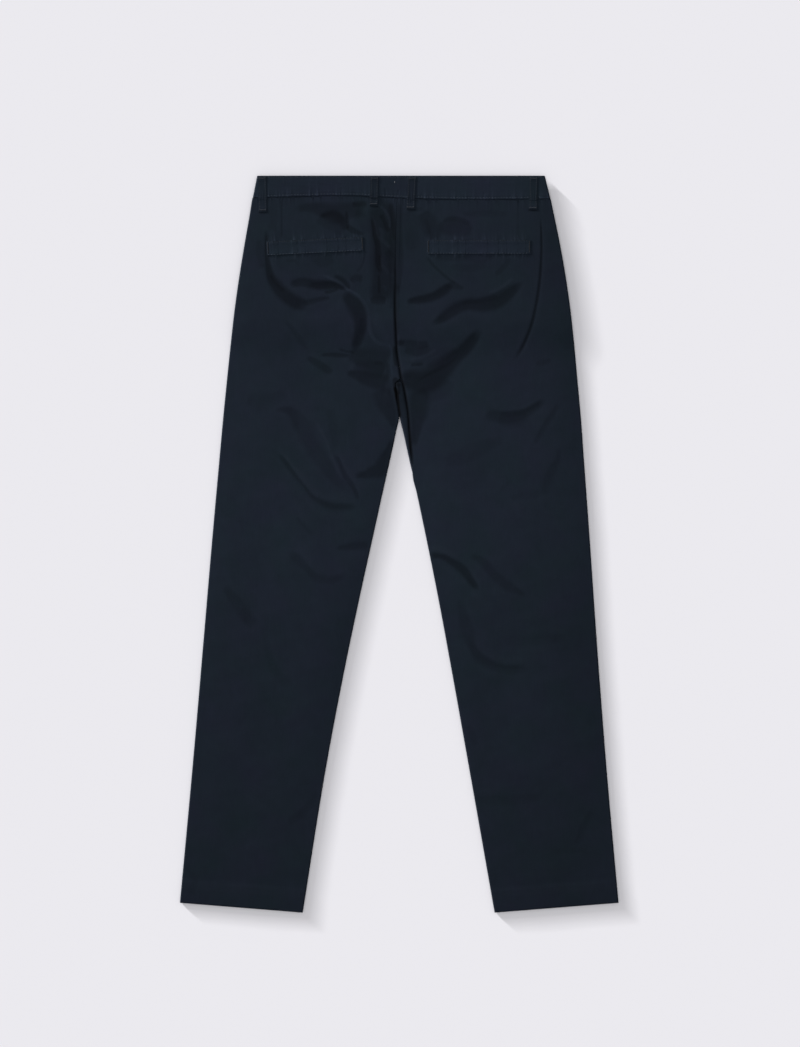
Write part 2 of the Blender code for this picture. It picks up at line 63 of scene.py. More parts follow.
# ---------------------------------------------------------------- sizes shared with the solids, mm
LENGTH = 1050.0
LEG_GAP = 343.0             # waist to where the legs part
CROTCH_ROWS = (286.0, 296.0)    # the seat's sections turn into the legs' between these
INSEAM_END = 410.0          # the right inseam lies on top of the leg down to here
PANEL_TOP = 34.0            # where the panels' section at the waistband is measured
HEM_SLANT = 14.0            # the hem's outer corner is this much higher than its inner one
CLOTH = 1.2
BAND_CLOTH = 2.0
SEAM_GAP = 0.3
EDGE_GAP = 0.6
LIFT = 2.6                  # how far the pieces under the front hold its top part off the floor
LIFT_END = (200.0, 260.0)
LOFT_RUN = 24.0
BAND_LOFT = 0.5
BAND_LIP_DROP = 0.2         # of the panels' own
TROUGH_SOFTNESS = 0.25
EDGE_RADIUS = 2.0           # of the folded or sewn edges at the sides of the legs
EDGE_RISE = 2 * EDGE_RADIUS - 2 * CLOTH - EDGE_GAP      # these edges are fuller than the solids' by this
BAND_RADIUS = (2 * BAND_CLOTH + EDGE_GAP) / 2

# Silhouette: distance of the outer edges from the centre line, and the loft of the back panel.
OUTLINE = table(
    "below left right loft",
    (0, 202.6, 207.4, 1.2),
    (31, 208.8, 214.9, 1.6),
    (70, 215.9, 223.5, 2.6),
    (119, 224.3, 233.0, 3.0),
    (176, 232.9, 241.9, 3.0),
    (234, 239.9, 248.7, 3.0),
    (291, 245.9, 254.0, 3.0),
    (345, 251.3, 258.9, 3.0),
    (400, 256.3, 262.9, 2.9),
    (520, 267.1, 271.6, 2.8),
    (660, 279.1, 281.3, 2.7),
    (833, 294.1, 294.5, 2.2),
    (LENGTH, 314.2, 313.8, 1.2),
)

# Inner edge of each leg, measured outwards from the centre line.
INNER = table(
    "below left right",
    (CROTCH_ROWS[1], 5.3, -5.0),
    (310, 3.6, -3.3),
    (328, 2.3, -2.0),
    (LEG_GAP, 0.3, 0.2),
    (362, 4.1, 4.9),
    (398, 11.8, 12.8),
    (448, 23.0, 23.9),
    (519, 38.7, 38.9),
    (604, 57.4, 55.9),
    (700, 77.5, 73.7),
    (833, 102.8, 97.5),
    (LENGTH, 137.8, 135.8),
)

# Seat seam, which runs on as the right inseam: x of the line, how deep the cloth is drawn in along
# it, the radius that both panels' edges turn in by, and the share of its colour that the line loses
# to painted shade.
SEAT_SEAM = table(
    "below x dip turn shade",
    (31, -3.0, 0.1, 0.3, 0.0),
    (60, -4.0, 0.1, 0.3, 0.12),
    (100, -4.8, 0.1, 0.3, 0.28),
    (125, -5.4, 0.2, 0.4, 0.42),
    (150, -5.6, 0.4, 0.5, 0.62),
    (180, -6.2, 0.6, 0.6, 0.80),
    (226, -4.8, 0.7, 0.6, 0.82),
    (251, -3.4, 0.7, 0.6, 0.76),
    (273, 0.0, 0.7, 0.6, 0.74),
    (288, 2.4, 0.7, 0.6, 0.88),
    (301, 6.1, 0.7, 0.6, 0.88),
    (316, 9.0, 0.7, 0.6, 0.88),
    (332, 11.6, 0.6, 0.6, 0.88),
    (366, 14.3, 0.5, 0.6, 0.86),
    (397, 16.9, 0.4, 0.6, 0.76),
    (INSEAM_END, 18.6, 0.2, 0.6, 0.30),
)
SEAT_SEAM_WIDTH = 4.4

# Lower seam of the waistband.
BAND_SEAM = table(
    "x below",
    (-209, 31.0),
    (-45, 28.8),
    (-3, 31.2),
    (75, 33.4),
    (215, 32.6),
)

STRIP = "name x0 below0 x1 below1"      # the columns of the tables of strips
BACK_LOOPS = table(
    STRIP,
    ("loop_side_left", -195.6, 0.8, -194.8, 51.5),
    ("loop_back_left", -35.4, 0.8, -36.6, 42.6),
    ("loop_back_right", 18.2, 0.8, 15.8, 47.5),
    ("loop_side_right", 191.0, 0.8, 190.4, 48.2),
)
FRONT_LOOPS = table(
    STRIP,
    ("loop_front_left", -98.0, 0.8, -99.0, 48.0),
    ("loop_front_right", 98.0, 0.8, 99.0, 48.0),
)
LOOP_WIDTH = 12.0
LOOP_THICK = 0.33
WELTS = table(
    STRIP,
    ("welt_left", -189.0, 103.6, -51.0, 96.8),
    ("welt_right", 39.5, 101.4, 187.0, 101.4),
)
WELT_HEIGHT = 20.0
WELT_THICK = 0.4
UNDER_TOP = LIFT - SEAM_GAP
FLY_TOP = 34.5
FLY_LENGTH = 165.0
FLY_WIDTH = 38.0
FLY_BEND = 45.0
FLY_THICK = 1.2
BAND_LAP = 17.0
POCKET_EDGES = table(
    STRIP,
    ("pocket_edge_left", -160.0, 36.0, -222.0, 178.0),
    ("pocket_edge_right", 160.0, 36.0, 222.0, 178.0),
)
POCKET_EDGE_WIDTH = 11.0
POCKET_EDGE_THICK = 1.2
BUTTON_X, BUTTON_BELOW = 4.0, 15.5
BUTTON_THICK = 2.3

# ---------------------------------------------------------------- folds and relief of the cloth
# Each fold follows its spots (x, below, width). Over its width the cloth falls by "drop" to the
# right of the way that the spots lead, and all along the line it sinks by "dip". Its colour carries
# painted shade there, darker by the share "shade", and painted highlight where that is negative:
# evenly, mostly on the right where "lean" is 1, on the left at -1.
FOLD = "drop dip shade spots lean"
FOLDS = table(
    FOLD,
    # under the left half of the waistband, and above the left pocket
    (0.05, 0.1, 0.28, ((-150, 50, 10), (-130, 45, 14), (-105, 50, 26), (-90, 55, 34), (-72, 50, 26),
     (-45, 48, 20))),
    (0, 0.1, 0.07, ((-64, 54, 10), (-54, 60, 18), (-48, 74, 16), (-46, 86, 8))),
    (0, 0.1, 0.16, ((-118, 60, 14), (-102, 66, 22), (-88, 74, 20), (-78, 84, 10))),
    (0, 0.2, 0.4, ((-113, 60, 6), (-103, 56.5, 12), (-92, 57, 18), (-84, 63.5, 17), (-79.5, 71, 13),
     (-78, 80, 8)), -0.7),
    (0, 0.15, 0.34, ((-75, 50, 3), (-74.5, 60, 5), (-73.5, 70, 5), (-73, 80, 3))),
    (0, 0.1, 0.3, ((-74, 70, 6), (-68, 77, 10), (-59, 81, 7), (-50, 84, 4))),
    (0, 0.1, 0.32, ((-68, 41, 6), (-56, 40, 9), (-45, 40, 8))),
    (0, -0.05, -0.06, ((-130, 36, 4), (-95, 35, 4), (-60, 36, 4))),
    (0, 0.05, 0.07, ((-186, 44, 12), (-178, 60, 16), (-182, 80, 12))),
    # between the left pocket and the seat seam
    (0.05, 0.3, 0.38, ((-36, 34, 28), (-26, 55, 40), (-23, 85, 40), (-22, 120, 40), (-24, 150, 36),
     (-27, 172, 32), (-29, 186, 22))),
    (0.1, 0.3, 0.38, ((-40, 58, 4), (-37, 72, 5), (-35, 86, 7), (-31, 98, 9), (-30, 112, 10), (-30, 126, 9),
     (-27, 136, 7), (-23, 143, 4))),
    (0, 0.1, 0.25, ((-28, 112, 3), (-28, 120, 3.5), (-27.5, 130, 3))),
    (0, 0.1, 0.3, ((-29, 140, 4), (-28.5, 155, 5), (-28.5, 170, 4))),
    (0, 0, 0.16, ((-14, 36, 8), (-11, 60, 11), (-10, 90, 11), (-11, 120, 10))),
    (0, 0, 0.2, ((-12, 140, 5), (-11, 155, 7), (-11, 172, 6), (-12, 192, 4))),
    (0, 0.1, 0.3, ((-42, 178, 9), (-31, 177, 15), (-18, 178, 11))),
    (0, 0.15, 0.3, ((-27, 55, 8), (-22, 63, 7), (-18, 74, 7), (-15, 82, 5))),
    (0, 0.1, 0.28, ((-11, 36, 8), (-11, 44, 8), (-9, 56, 9), (-8, 66, 8), (-6, 84, 9), (-5, 96, 6.5))),
    (0, 0.1, 0.2, ((-18, 106, 8), (-13, 116, 14), (-11, 128, 12), (-9, 142, 8))),
    (0, -0.2, -0.3, ((-33, 36, 3), (-29, 43, 4), (-22, 48, 5), (-17, 55, 5), (-13.5, 64, 4),
     (-13, 78, 3))),
    (0, -0.15, -0.22, ((-29, 73, 5), (-24, 81, 7), (-24, 91, 7), (-19, 97, 7), (-14, 101, 6),
     (-10, 104, 4))),
    (0, -0.1, -0.12, ((-25, 127, 5), (-20, 132, 6), (-17, 137, 5), (-16, 143, 3))),
    (0, -0.05, -0.14, ((-24, 156, 4), (-20, 160, 5), (-18, 165, 4))),
    # round the outer end of the left pocket and in under it
    (0.15, 0.4, 0.46, ((-188, 75, 6), (-188.5, 99, 7), (-187.5, 119, 8), (-185.5, 133, 11.5),
     (-181.5, 146, 16), (-174, 157, 20.5), (-165, 167, 23), (-155, 175, 23), (-145, 181, 23),
     (-135, 184, 18.5), (-126, 185, 10.5)), 0.2),
    (0, 0.1, 0.2, ((-184, 140, 3), (-178, 151, 5), (-170, 160, 6), (-162, 166, 5))),
    (0.05, 0.1, 0.12, ((-200, 90, 8), (-197, 112, 14), (-194, 134, 10))),
    (0, 0.15, 0.28, ((-138, 182, 10), (-124, 179, 9), (-111, 176, 7), (-97, 174, 4))),
    (0.15, 0.3, 0.34, ((-158, 158, 5.5), (-147, 153, 13), (-135, 152, 15.5), (-120, 155, 17.5),
     (-105, 156, 16.5), (-92, 156, 12), (-82, 159, 9), (-72, 164, 4.5))),
    (0, 0.2, 0.26, ((-130, 155.5, 6), (-115, 156.5, 11), (-101, 155.5, 12), (-88, 157.5, 8),
     (-75, 163.5, 4))),
    (0.1, 0.2, 0.36, ((-93, 142, 4), (-84, 146, 8), (-77, 151, 9), (-72, 158, 7), (-69.5, 163, 3)), 0.6),
    (0, 0.1, 0.24, ((-69, 152, 8.5), (-62, 146, 12), (-51, 147, 11))),
    (0, 0.1, 0.34, ((-107, 167, 4), (-97, 165, 5), (-86, 161, 4.5))),
    (0, 0.05, 0.13, ((-127, 113, 6), (-115, 121, 18), (-104, 122, 18), (-92, 117, 10))),
    (0, 0.05, 0.15, ((-162, 121, 3), (-154, 121, 5), (-146, 121, 3))),
    (0, 0.1, 0.16, ((-49, 108, 3), (-50, 119, 3.4), (-54, 130, 3.4), (-61, 138, 3.4))),
    # the crest from the left pocket down to the seat seam, and the hollow on its outer side
    (0, -0.15, -0.18, ((-116.5, 142, 3), (-103.5, 144, 4), (-93.5, 149, 4), (-83.5, 155, 4),
     (-75, 161, 4), (-66, 166, 5), (-57, 173, 6), (-49, 184, 6.5), (-44.5, 198, 6.5), (-43, 214, 6.5),
     (-38.5, 229, 6.5), (-29, 239, 6), (-18, 241, 5), (-10.5, 243, 4))),
    (0, 0, -0.06, ((-33, 192, 12), (-30, 210, 18), (-22, 226, 14), (-12, 234, 8))),
    (0, 0, 0.42, ((-7, 241, 5), (-6.4, 250, 6.5), (-5.6, 262, 6.5), (-4.5, 273, 4))),
    (0, 0, -0.2, ((-18, 241, 4), (-13, 243.5, 3.5), (-11.6, 252, 3), (-11.4, 268, 3), (-10.6, 279, 4),
     (-8, 286, 5))),
    (0.4, 0.3, 0.4, ((-66.5, 250, 10), (-61, 238, 15), (-56.5, 223, 19), (-55, 209, 24), (-57.5, 196, 28),
     (-63.5, 185, 28), (-71.5, 176, 20), (-81.5, 166, 9)), 0.1),
    (0, 0.1, 0.14, ((-53, 228, 8), (-52, 214, 10), (-52, 202, 8))),
    (0.05, 0.3, 0.28, ((-72, 252, 16), (-56, 258, 30), (-38, 262, 38), (-22, 265, 42), (-13, 268, 42))),
    (0, 0.1, 0.12, ((-66, 270, 12), (-48, 273, 22), (-30, 276, 26), (-13, 278, 26))),
    (0.2, 0.35, 0.33, ((-76, 281, 6), (-63, 283, 14), (-50, 287, 22), (-38, 291, 26), (-26, 294, 28),
     (-13, 296, 26))),
    (0, 0.05, 0.2, ((-36, 267, 4), (-29, 267, 6), (-22, 267, 4))),
    (0.15, 0.15, 0.27, ((-27, 302, 28), (-22, 316, 34), (-16, 332, 26), (-10, 347, 15), (-6, 362, 6))),
    (0, 0.1, 0.16, ((-16, 264, 5), (-15.8, 280, 6), (-15, 300, 6), (-14, 316, 4))),
    (0, 0.15, 0.32, ((-113, 256, 4), (-98, 255, 7), (-84, 256, 7), (-69, 256, 4))),
    (0, 0.1, 0.28, ((-86, 247, 3), (-76, 250, 4), (-63, 252, 4))),
    (0.05, 0.15, 0.25, ((-132, 258, 5), (-122, 264, 11), (-112, 270, 12), (-102, 277, 12), (-94, 282, 6))),
    (0, 0.1, 0.1, ((-163, 207, 6), (-150, 221, 8), (-140, 235, 8), (-129, 250, 5))),
    # right half, above its pocket and under it
    (0, 0.1, 0.12, ((14, 48, 22), (17, 75, 27), (18, 98, 22), (20, 110, 12))),
    (0, 0.1, 0.24, ((0, 34, 10), (0, 60, 10), (0.5, 100, 11), (1, 130, 11), (-1, 152, 8.5),
     (-2, 175, 5.5))),
    (0, 0, 0.2, ((-4, 150, 8), (-3.5, 175, 9), (-3, 205, 7), (-2, 230, 5)), -0.4),
    (0, 0.1, 0.1, ((12, 52, 5), (24, 49, 7), (37, 47, 6))),
    (0, 0.15, 0.24, ((33, 50, 16), (41, 66, 28), (48, 82, 26), (50, 94, 12))),
    (0, 0.1, 0.22, ((54, 74, 14), (72, 74, 26), (90, 76, 24), (106, 80, 12))),
    (0, 0.15, 0.22, ((62, 67, 5), (70, 62, 7), (82, 62, 9), (93, 65, 8), (102, 71, 5))),
    (0, 0.05, 0.14, ((37, 60, 5), (40, 70, 6), (44, 84, 5))),
    (0, 0.1, 0.1, ((88, 55, 6), (104, 55, 8), (125, 54, 10), (148, 55, 8), (158, 58, 5))),
    (0, 0.05, 0.14, ((46, 117, 5), (70, 118, 9), (95, 118, 9), (120, 118, 12), (142, 114, 6))),
    (0, 0.05, 0.1, ((72, 130, 7), (90, 131, 14), (108, 130, 15), (126, 126, 10))),
    (0, 0.05, 0.18, ((136, 143, 6), (145, 134, 9), (154, 124, 8), (158, 116, 5))),
    (0.05, 0.1, 0.26, ((38, 114, 4), (46, 125, 4), (57, 136, 4), (70, 147, 4), (84, 156, 3))),
    (0.2, 0.3, 0.44, ((9, 181, 6.5), (22, 178, 12), (36, 176, 14.5), (50, 172, 15.5), (62, 165, 16.5),
     (70, 158, 14.5), (73, 151, 9)), -0.2),
    (0.1, 0.1, 0.2, ((68, 154, 10), (78, 157, 12), (93, 161, 3))),
    # right seat
    (0.3, 0.4, 0.4, ((43, 212, 6), (53, 207.5, 11), (64, 200.5, 17), (74, 193, 20), (86, 186, 21),
     (99, 182.5, 20), (112, 183, 24), (124, 182, 27), (137, 179, 26), (148, 172.5, 24), (158, 165, 19.5),
     (168, 157.5, 12), (179, 151, 4)), 0.3),
    (0, 0.1, 0.14, ((86, 183, 5), (100, 180, 7), (114, 179, 8), (128, 175, 9), (142, 171, 8))),
    (0, -0.1, -0.08, ((127, 168, 4), (143, 161, 5), (153, 154, 5), (163, 145, 4))),
    (0.1, 0.15, 0.24, ((-3, 238, 10), (14, 239, 13), (30, 241, 13), (44, 239, 8))),
    (0, 0.1, 0.28, ((-4, 238, 7), (2, 238, 8), (8, 238, 5))),
    (0, 0.1, 0.24, ((6, 247, 9), (20, 251, 12), (33, 250, 14), (46, 244, 10))),
    (0, 0.1, 0.3, ((16, 269, 4), (25, 269, 5), (35, 268, 4))),
    (0, 0.05, 0.12, ((39, 273, 8), (53, 265, 12), (67, 257, 12), (83, 246, 9))),
    (0, -0.15, -0.05, ((-1, 258, 5), (12, 262, 6), (26, 261, 6), (40, 255, 6), (57, 248, 5))),
    (0, 0, 0.09, ((6, 262, 12), (28, 262, 24), (52, 257, 22), (74, 246, 10))),
    (0.45, 0.4, 0.42, ((-3, 281, 10), (11, 287.5, 29), (26, 292, 38), (39.5, 291, 41), (51, 285, 39),
     (61.5, 276, 33), (71.5, 266, 27), (81.5, 257, 23), (91.5, 248, 22), (100.5, 238, 20),
     (108.5, 227.5, 16), (116.5, 216.5, 8)), 0.1),
    (0, 0.1, 0.12, ((34, 310, 16), (50, 309, 28), (64, 303, 26), (76, 292, 12))),
    (0, 0.1, 0.16, ((25, 293, 3), (39, 285, 4.5), (51, 279, 6), (63, 273, 7), (73, 267, 6),
     (83, 258, 4))),
    (0, 0.1, 0.12, ((3, 284, 5), (10, 286, 9), (18, 289, 7))),
    # right hip
    (0.05, 0.3, 0.46, ((161, 264, 5), (172.5, 249, 5), (182, 229, 5), (189.2, 209, 5), (194, 188, 4.6),
     (197.8, 167, 4.6), (200.4, 146, 4.4), (201.8, 126, 4), (202.6, 105, 3.6), (202.3, 84, 3),
     (201, 55, 2.4))),
    (0, 0.05, 0.16, ((194, 268, 6), (205, 266, 9), (216, 262, 6))),
    # left thigh
    (0.05, 0.2, 0.13, ((-176, 332, 7), (-156, 335, 14), (-144, 346, 22), (-135, 362, 26), (-125, 382, 26),
     (-113, 401, 25), (-100, 419, 21), (-86, 436, 17), (-64, 452, 9))),
    (0, 0.05, 0.1, ((-178, 334, 5), (-160, 334, 9), (-149, 343, 12), (-147, 366, 9))),
    (0, 0.05, 0.08, ((-98, 330, 12), (-96, 352, 15), (-92, 378, 10), (-89, 392, 5))),
    (0, -0.1, -0.03, ((-122, 346, 4), (-107, 371, 5), (-99, 392, 5), (-88, 420, 5), (-78, 438, 4))),
    (0.1, 0.2, 0.24, ((-92, 396, 4), (-86, 406, 6), (-81, 418, 6), (-76, 429, 8), (-68, 440, 8),
     (-61, 453, 6), (-57, 466, 4))),
    (0.15, 0.3, 0.24, ((-177, 393.5, 4), (-166, 403.5, 7), (-155, 418.5, 7), (-145, 431.5, 5.5),
     (-135, 443.5, 5), (-125, 456.5, 7), (-113, 464.5, 10), (-96, 471.5, 11), (-77, 472.5, 11),
     (-55, 472.5, 8)), -0.2),
    (0.15, 0.15, 0.33, ((-66, 427, 5), (-50, 426, 12), (-38, 422, 20), (-27, 418, 26), (-20, 406, 24),
     (-13, 389, 14), (-8, 373, 8))),
    (0, 0.1, 0.12, ((-147, 486, 3), (-135, 500, 4), (-123, 513, 3))),
    (0, 0.1, 0.06, ((-218, 318, 14), (-198, 322, 32), (-178, 318, 22), (-160, 308, 12))),
    # left knee and calf
    (0.1, 0.2, 0.2, ((-91, 531, 4), (-78, 530, 9), (-66, 528, 13), (-54, 527, 13), (-41, 528, 9))),
    (0.05, 0.15, 0.14, ((-158, 536, 6), (-147, 544, 14), (-139, 552, 12), (-130, 561, 10), (-121, 571, 12),
     (-107, 576, 13), (-92, 575, 11), (-74, 568, 7))),
    (0.05, 0.2, 0.14, ((-248, 583, 8), (-239, 599, 16), (-227, 613, 20), (-216, 630, 22), (-202, 644, 12))),
    (0, 0.1, 0.08, ((-222, 614, 8), (-217, 628, 12), (-212, 640, 8))),
    (0, 0.1, 0.06, ((-190, 650, 8), (-188, 672, 12), (-182, 694, 12), (-168, 716, 14), (-150, 726, 8))),
    (0.1, 0.1, 0.09, ((-162, 923, 7), (-147, 914, 14), (-131, 900, 12), (-114, 876, 10))),
    (0, 0.1, 0.08, ((-303, 982, 8), (-292, 1003, 10), (-296, 1026, 8))),
    # right thigh
    (0.05, 0.2, 0.34, ((24, 302, 22), (29, 318, 32), (27, 337, 29), (24.5, 355, 20), (22, 372, 14),
     (20, 388, 8))),
    (0.15, 0.05, 0.1, ((60, 410, 14), (84, 402, 26), (106, 392, 28), (128, 382, 20), (150, 374, 10))),
    (0.15, 0.2, 0.2, ((121, 349, 7), (133, 342, 20), (147, 343, 21), (161, 343, 22), (175, 340, 17),
     (187, 334, 14), (197, 327, 13), (209, 318, 7))),
    (0, 0, -0.07, ((132, 332, 4), (148, 334, 4), (166, 331.5, 4), (182, 326.5, 4), (194, 318, 3))),
    (0, 0, 0.12, ((138, 346, 8), (152, 349, 20), (170, 348, 22), (186, 341, 12))),
    (0.05, 0.1, 0.12, ((140, 339, 4), (156, 340, 8), (172, 338, 8), (184, 334, 8), (194, 329, 8),
     (203, 321, 5))),
    (0.1, 0.1, 0.12, ((192, 385, 6), (200, 369, 9), (208, 355, 9), (217, 341, 9), (228, 323, 7))),
    (0.1, 0.1, 0.11, ((206, 458, 12), (210, 438, 16), (218, 418, 14), (226, 404, 9), (227, 386, 6))),
    (0, 0.1, 0.08, ((158, 461, 6), (174, 456, 11), (192, 456, 12), (199, 446, 6))),
    (0, 0.05, 0.08, ((144, 450, 4), (152, 440, 6), (162, 434, 5))),
    # right knee and calf
    (0.3, 0.4, 0.36, ((40, 540.5, 6), (52, 541.5, 9), (64, 544, 10), (76, 551, 12), (87, 558, 15),
     (96, 567.5, 14), (103, 578, 12), (110, 587, 8), (115, 593, 4)), -0.1),
    (0.05, 0.15, 0.18, ((98, 541, 6), (111, 545, 9), (123, 553, 15), (132, 565, 16), (144, 576, 15),
     (156, 585, 17), (169, 592, 9), (184, 601, 5))),
    (0.05, 0.2, 0.13, ((86, 597, 8), (90, 619, 13), (95, 639, 21), (100, 657, 21), (105, 673, 14),
     (112, 685, 16), (124, 694, 16), (140, 701, 13), (157, 704, 13), (174, 703, 12), (191, 700, 6))),
    (0.05, 0.15, 0.1, ((100, 659, 7), (109, 678, 12), (120, 689, 12), (135, 696, 9), (154, 700, 7),
     (180, 700, 5))),
    (0, 0.1, 0.07, ((148, 664, 8), (165, 664, 18), (186, 662, 14), (212, 660, 16), (240, 658, 10))),
    (0, 0.1, 0.07, ((97, 782, 8), (104, 798, 12), (109, 815, 8))),
    (0.1, 0.1, 0.09, ((100, 885, 8), (124, 888, 14), (150, 890, 18), (175, 888, 16), (207, 884, 9))),
    (0.1, 0.1, 0.08, ((250, 955, 7), (257, 943, 11), (263, 927, 12), (276, 903, 7))),
    (0, 0.05, 0.06, ((218, 963, 7), (245, 962, 9), (270, 960, 6))),
    # darts
    (0.05, 0.1, 0.2, ((-167.4, 92, 2.5), (-167.4, 60, 3), (-167.4, 30, 3))),
    (0.05, 0.1, 0.04, ((170.3, 92, 2.5), (169.8, 60, 3), (169.3, 30, 3))),
    # broad, faint patches
    (0, 0, 0.05, ((-236, 270, 40), (-238, 340, 50), (-242, 420, 46), (-250, 520, 36))),
    (0, 0, -0.05, ((-150, 470, 60), (-150, 560, 90), (-160, 650, 80), (-185, 760, 60))),
    (0, 0, -0.04, ((-130, 190, 40), (-120, 215, 80), (-125, 240, 60), (-150, 270, 40))),
    (0, 0, -0.06, ((160, 640, 60), (190, 700, 90), (190, 790, 90), (170, 860, 70))),
    (0, 0, 0.04, ((110, 720, 30), (118, 800, 34), (126, 880, 30))),
    (0, 0, 0.05, ((60, 415, 30), (90, 425, 44), (130, 415, 30))),
    # painted shadow under the ends of the belt loops
    (0, 0, 0.2, ((-202, 52.8, 2.5), (-195, 52.8, 3), (-188, 52.8, 2.5))),
    (0, 0, 0.25, ((-43, 43.4, 2.5), (-36, 43.4, 3), (-29, 43.4, 2.5))),
    (0, 0, 0.2, ((9, 48.8, 2.5), (16, 48.8, 3), (23, 48.8, 2.5))),
    (0, 0, 0.4, ((182, 48.8, 2.5), (190, 48.8, 3), (198, 48.8, 2.5))),
)
# Painted shade in the dark gap between the thighs, and on the lap beside it. They cross the inseam.
GAP_FOLDS = table(
    FOLD,
    (0, 0, 0.5, ((-9, 287, 4), (-6, 291, 10), (-4, 297, 12), (-2.5, 305, 10), (-1, 313, 5))),
    (0, 0, 0.45, ((-6, 296, 4), (-2, 296.5, 8), (3, 297, 5))),
    (0, 0, 0.92, ((-7.4, 297, 3), (-6, 303, 5.5), (-4.2, 310, 6.5), (-2.9, 318, 6.5), (-1.6, 327, 5.5),
     (-0.5, 336, 5), (0, 344, 4), (0, 352, 3))),
    (0, 0, 0.22, ((0, 294, 6), (2, 308, 10), (4, 322, 12), (6, 338, 12), (9.5, 353, 12),
     (12.5, 370, 10), (16, 390, 7), (19, 406, 4))),
)
# Folds of the front, which press it up from the floor, with painted shade along them.
FRONT_FOLDS = table(
    FOLD,
    (0.3, 0.5, 0.25, ((-20, 290, 9), (-70, 276, 12), (-130, 236, 8))),
    (0.2, 0.4, 0.2, ((-30, 320, 8), (-90, 310, 12), (-150, 318, 8))),
    (0.2, 0.4, 0.2, ((-60, 210, 8), (-84, 176, 10), (-120, 150, 6))),
    (0.3, 0.5, 0.2, ((-120, 560, 10), (-170, 600, 14), (-210, 612, 8))),
    (0.2, 0.4, 0.15, ((-110, 640, 8), (-150, 646, 12), (-190, 668, 8))),
    (0.3, 0.5, 0.25, ((24, 288, 9), (76, 266, 12), (118, 222, 8))),
    (0.2, 0.4, 0.15, ((34, 330, 8), (96, 350, 12), (160, 352, 8))),
    (0.2, 0.4, 0.2, ((70, 196, 8), (106, 172, 10), (150, 168, 6))),
    (0.3, 0.5, 0.2, ((112, 548, 10), (166, 556, 14), (214, 590, 8))),
    (0.2, 0.4, 0.15, ((150, 860, 8), (192, 840, 12), (236, 834, 8))),
)
FOLD_STEPS = 5              # straight steps between two spots of a fold
FOLD_TAPER = 0.12           # share of its length over which a fold runs out at each end
RECOVERY = 2.2              # distance over which a drop levels out, in widths of its fold
RECOVERY_LEAST = 9.0
SHADE_REACH = 0.6           # a fold's painted shade ends this far from its line, in widths
SHADE_SOFTNESS = (0.35, 0.5)    # run of its edges, in widths, and how much a full lean adds
SEWN_REACH = 4.0            # folds run out this far from the seat seam, where both panels are sewn

# Painted light and shade over the cloth, as a share of its full colour, down its length and across it.
TONES = table(
    "below share",
    (0, 0.95),
    (60, 0.95),
    (200, 0.99),
    (340, 1.04),
    (500, 1.02),
    (650, 0.92),
    (800, 0.88),
    (LENGTH, 0.80),
)
SIDE_TONES = table(
    "x share",
    (-320, 1.0),
    (-120, 1.0),
    (60, 1.02),
    (150, 0.98),
    (240, 0.90),
    (320, 0.92),
)
# The seam allowances pressed to the right of the seat seam's upper part.
ALLOWANCE_WIDTH = 5.7
ALLOWANCE_EDGE = 0.6
ALLOWANCE_HEIGHT = 0.15
ALLOWANCE_END = (108.0, 140.0)
HEM_DEPTH = 32.0            # the hem is turned up this far inside
HEM_HEIGHT = 0.3

# Slow swells of the cloth: wave length, heading in degrees, phase and height.
SWELLS = table(
    "length heading phase height",
    (97, 18, 0.4, 0.10),
    (71, 104, 2.1, 0.06),
    (47, 61, 4.0, 0.04),
    (31, 142, 1.2, 0.018),
    (23, 77, 5.3, 0.010),
)
# Puckers that the thread draws beside a seam: lengths of the waves along it, and their phases.
PUCKERS = table("length phase", (9.7, 0.3), (13.9, 2.2), (5.3, 4.4), (3.9, 1.2), (41.0, 1.0))
PUCKER_HEIGHT = 0.17
WELT_PUCKERS = 0.8          # their height round the welts, as a share of the others'
WELT_PUCKER_ENDS = (-4, 6)  # they run out over these distances from the ends of a welt
PUCKER_REACH = 7.0
PUCKER_GLOW = 0.16          # how much lighter the cloth is on them: wear and painted highlight

# ---------------------------------------------------------------- grids
CHUNK = 4                   # a shell's inside has every fourth row and column of its outside
TOP_LIP = 0.5               # radius of a panel's edge at the waistband
HEM_LIP = 1.1
TOP_LIP_DROP, HEM_LIP_DROP = 0.7, 0.8           # how far these edges fall, in their radii
TO_BAND = (PANEL_TOP + 2, PANEL_TOP + 26)       # sections follow the band's seam less and less here
SEAT_STEPS, LEG_STEPS = 224, 208
ROW_CHANGE = 420.0          # rows are finer above this
BACK_STEPS, FRONT_STEPS, WRAP_STEPS = 176, 60, 20
WRAP_START = 8.0
THIGHS_TOUCH = 0.6          # the right thigh's edge is pressed this far into the left one's
TOUCH_END = (LEG_GAP - 6, LEG_GAP + 2)
WRAP_BEND_STEPS = 12
LAP_LEAST = 0.01            # width of the lap where it runs out
INSEAM_ROLL = (INSEAM_END, INSEAM_END + 40)     # the inseam moves from the top to the side here
END_STEPS = 8               # round a panel's end at the seat seam or inseam
END_FALL = 0.75             # how far the end falls there, in radii of its edge
GRIP = -0.45                # columns stand closer together near the ends of a section

WEAR_AND_HIGHLIGHT_STEPS = 4              # wear and painted highlight are judged against the cloth that is this many steps away
WEAR_AND_HIGHLIGHT_RANGE = 0.5            # height over it, in mm, at which cloth is fully worn and highlit

TOPSTITCH, LOOSE_STITCH, SATIN = table(
    "length gap radius",
    (2.5, 0.9, 0.27),
    (2.2, 2.0, 0.27),
    (1.6, 0.45, 0.2),
)


def quarter(steps):
    """Angles that divide a quarter turn."""
    return np.linspace(0, math.pi / 2, steps + 1)


QUARTER = quarter(CHUNK)


def lengths_along(path):
    """Distances of a path's points from its start."""
    return np.concatenate(((0,), np.cumsum(np.hypot(*np.diff(path[:, :2], axis=0).T))))


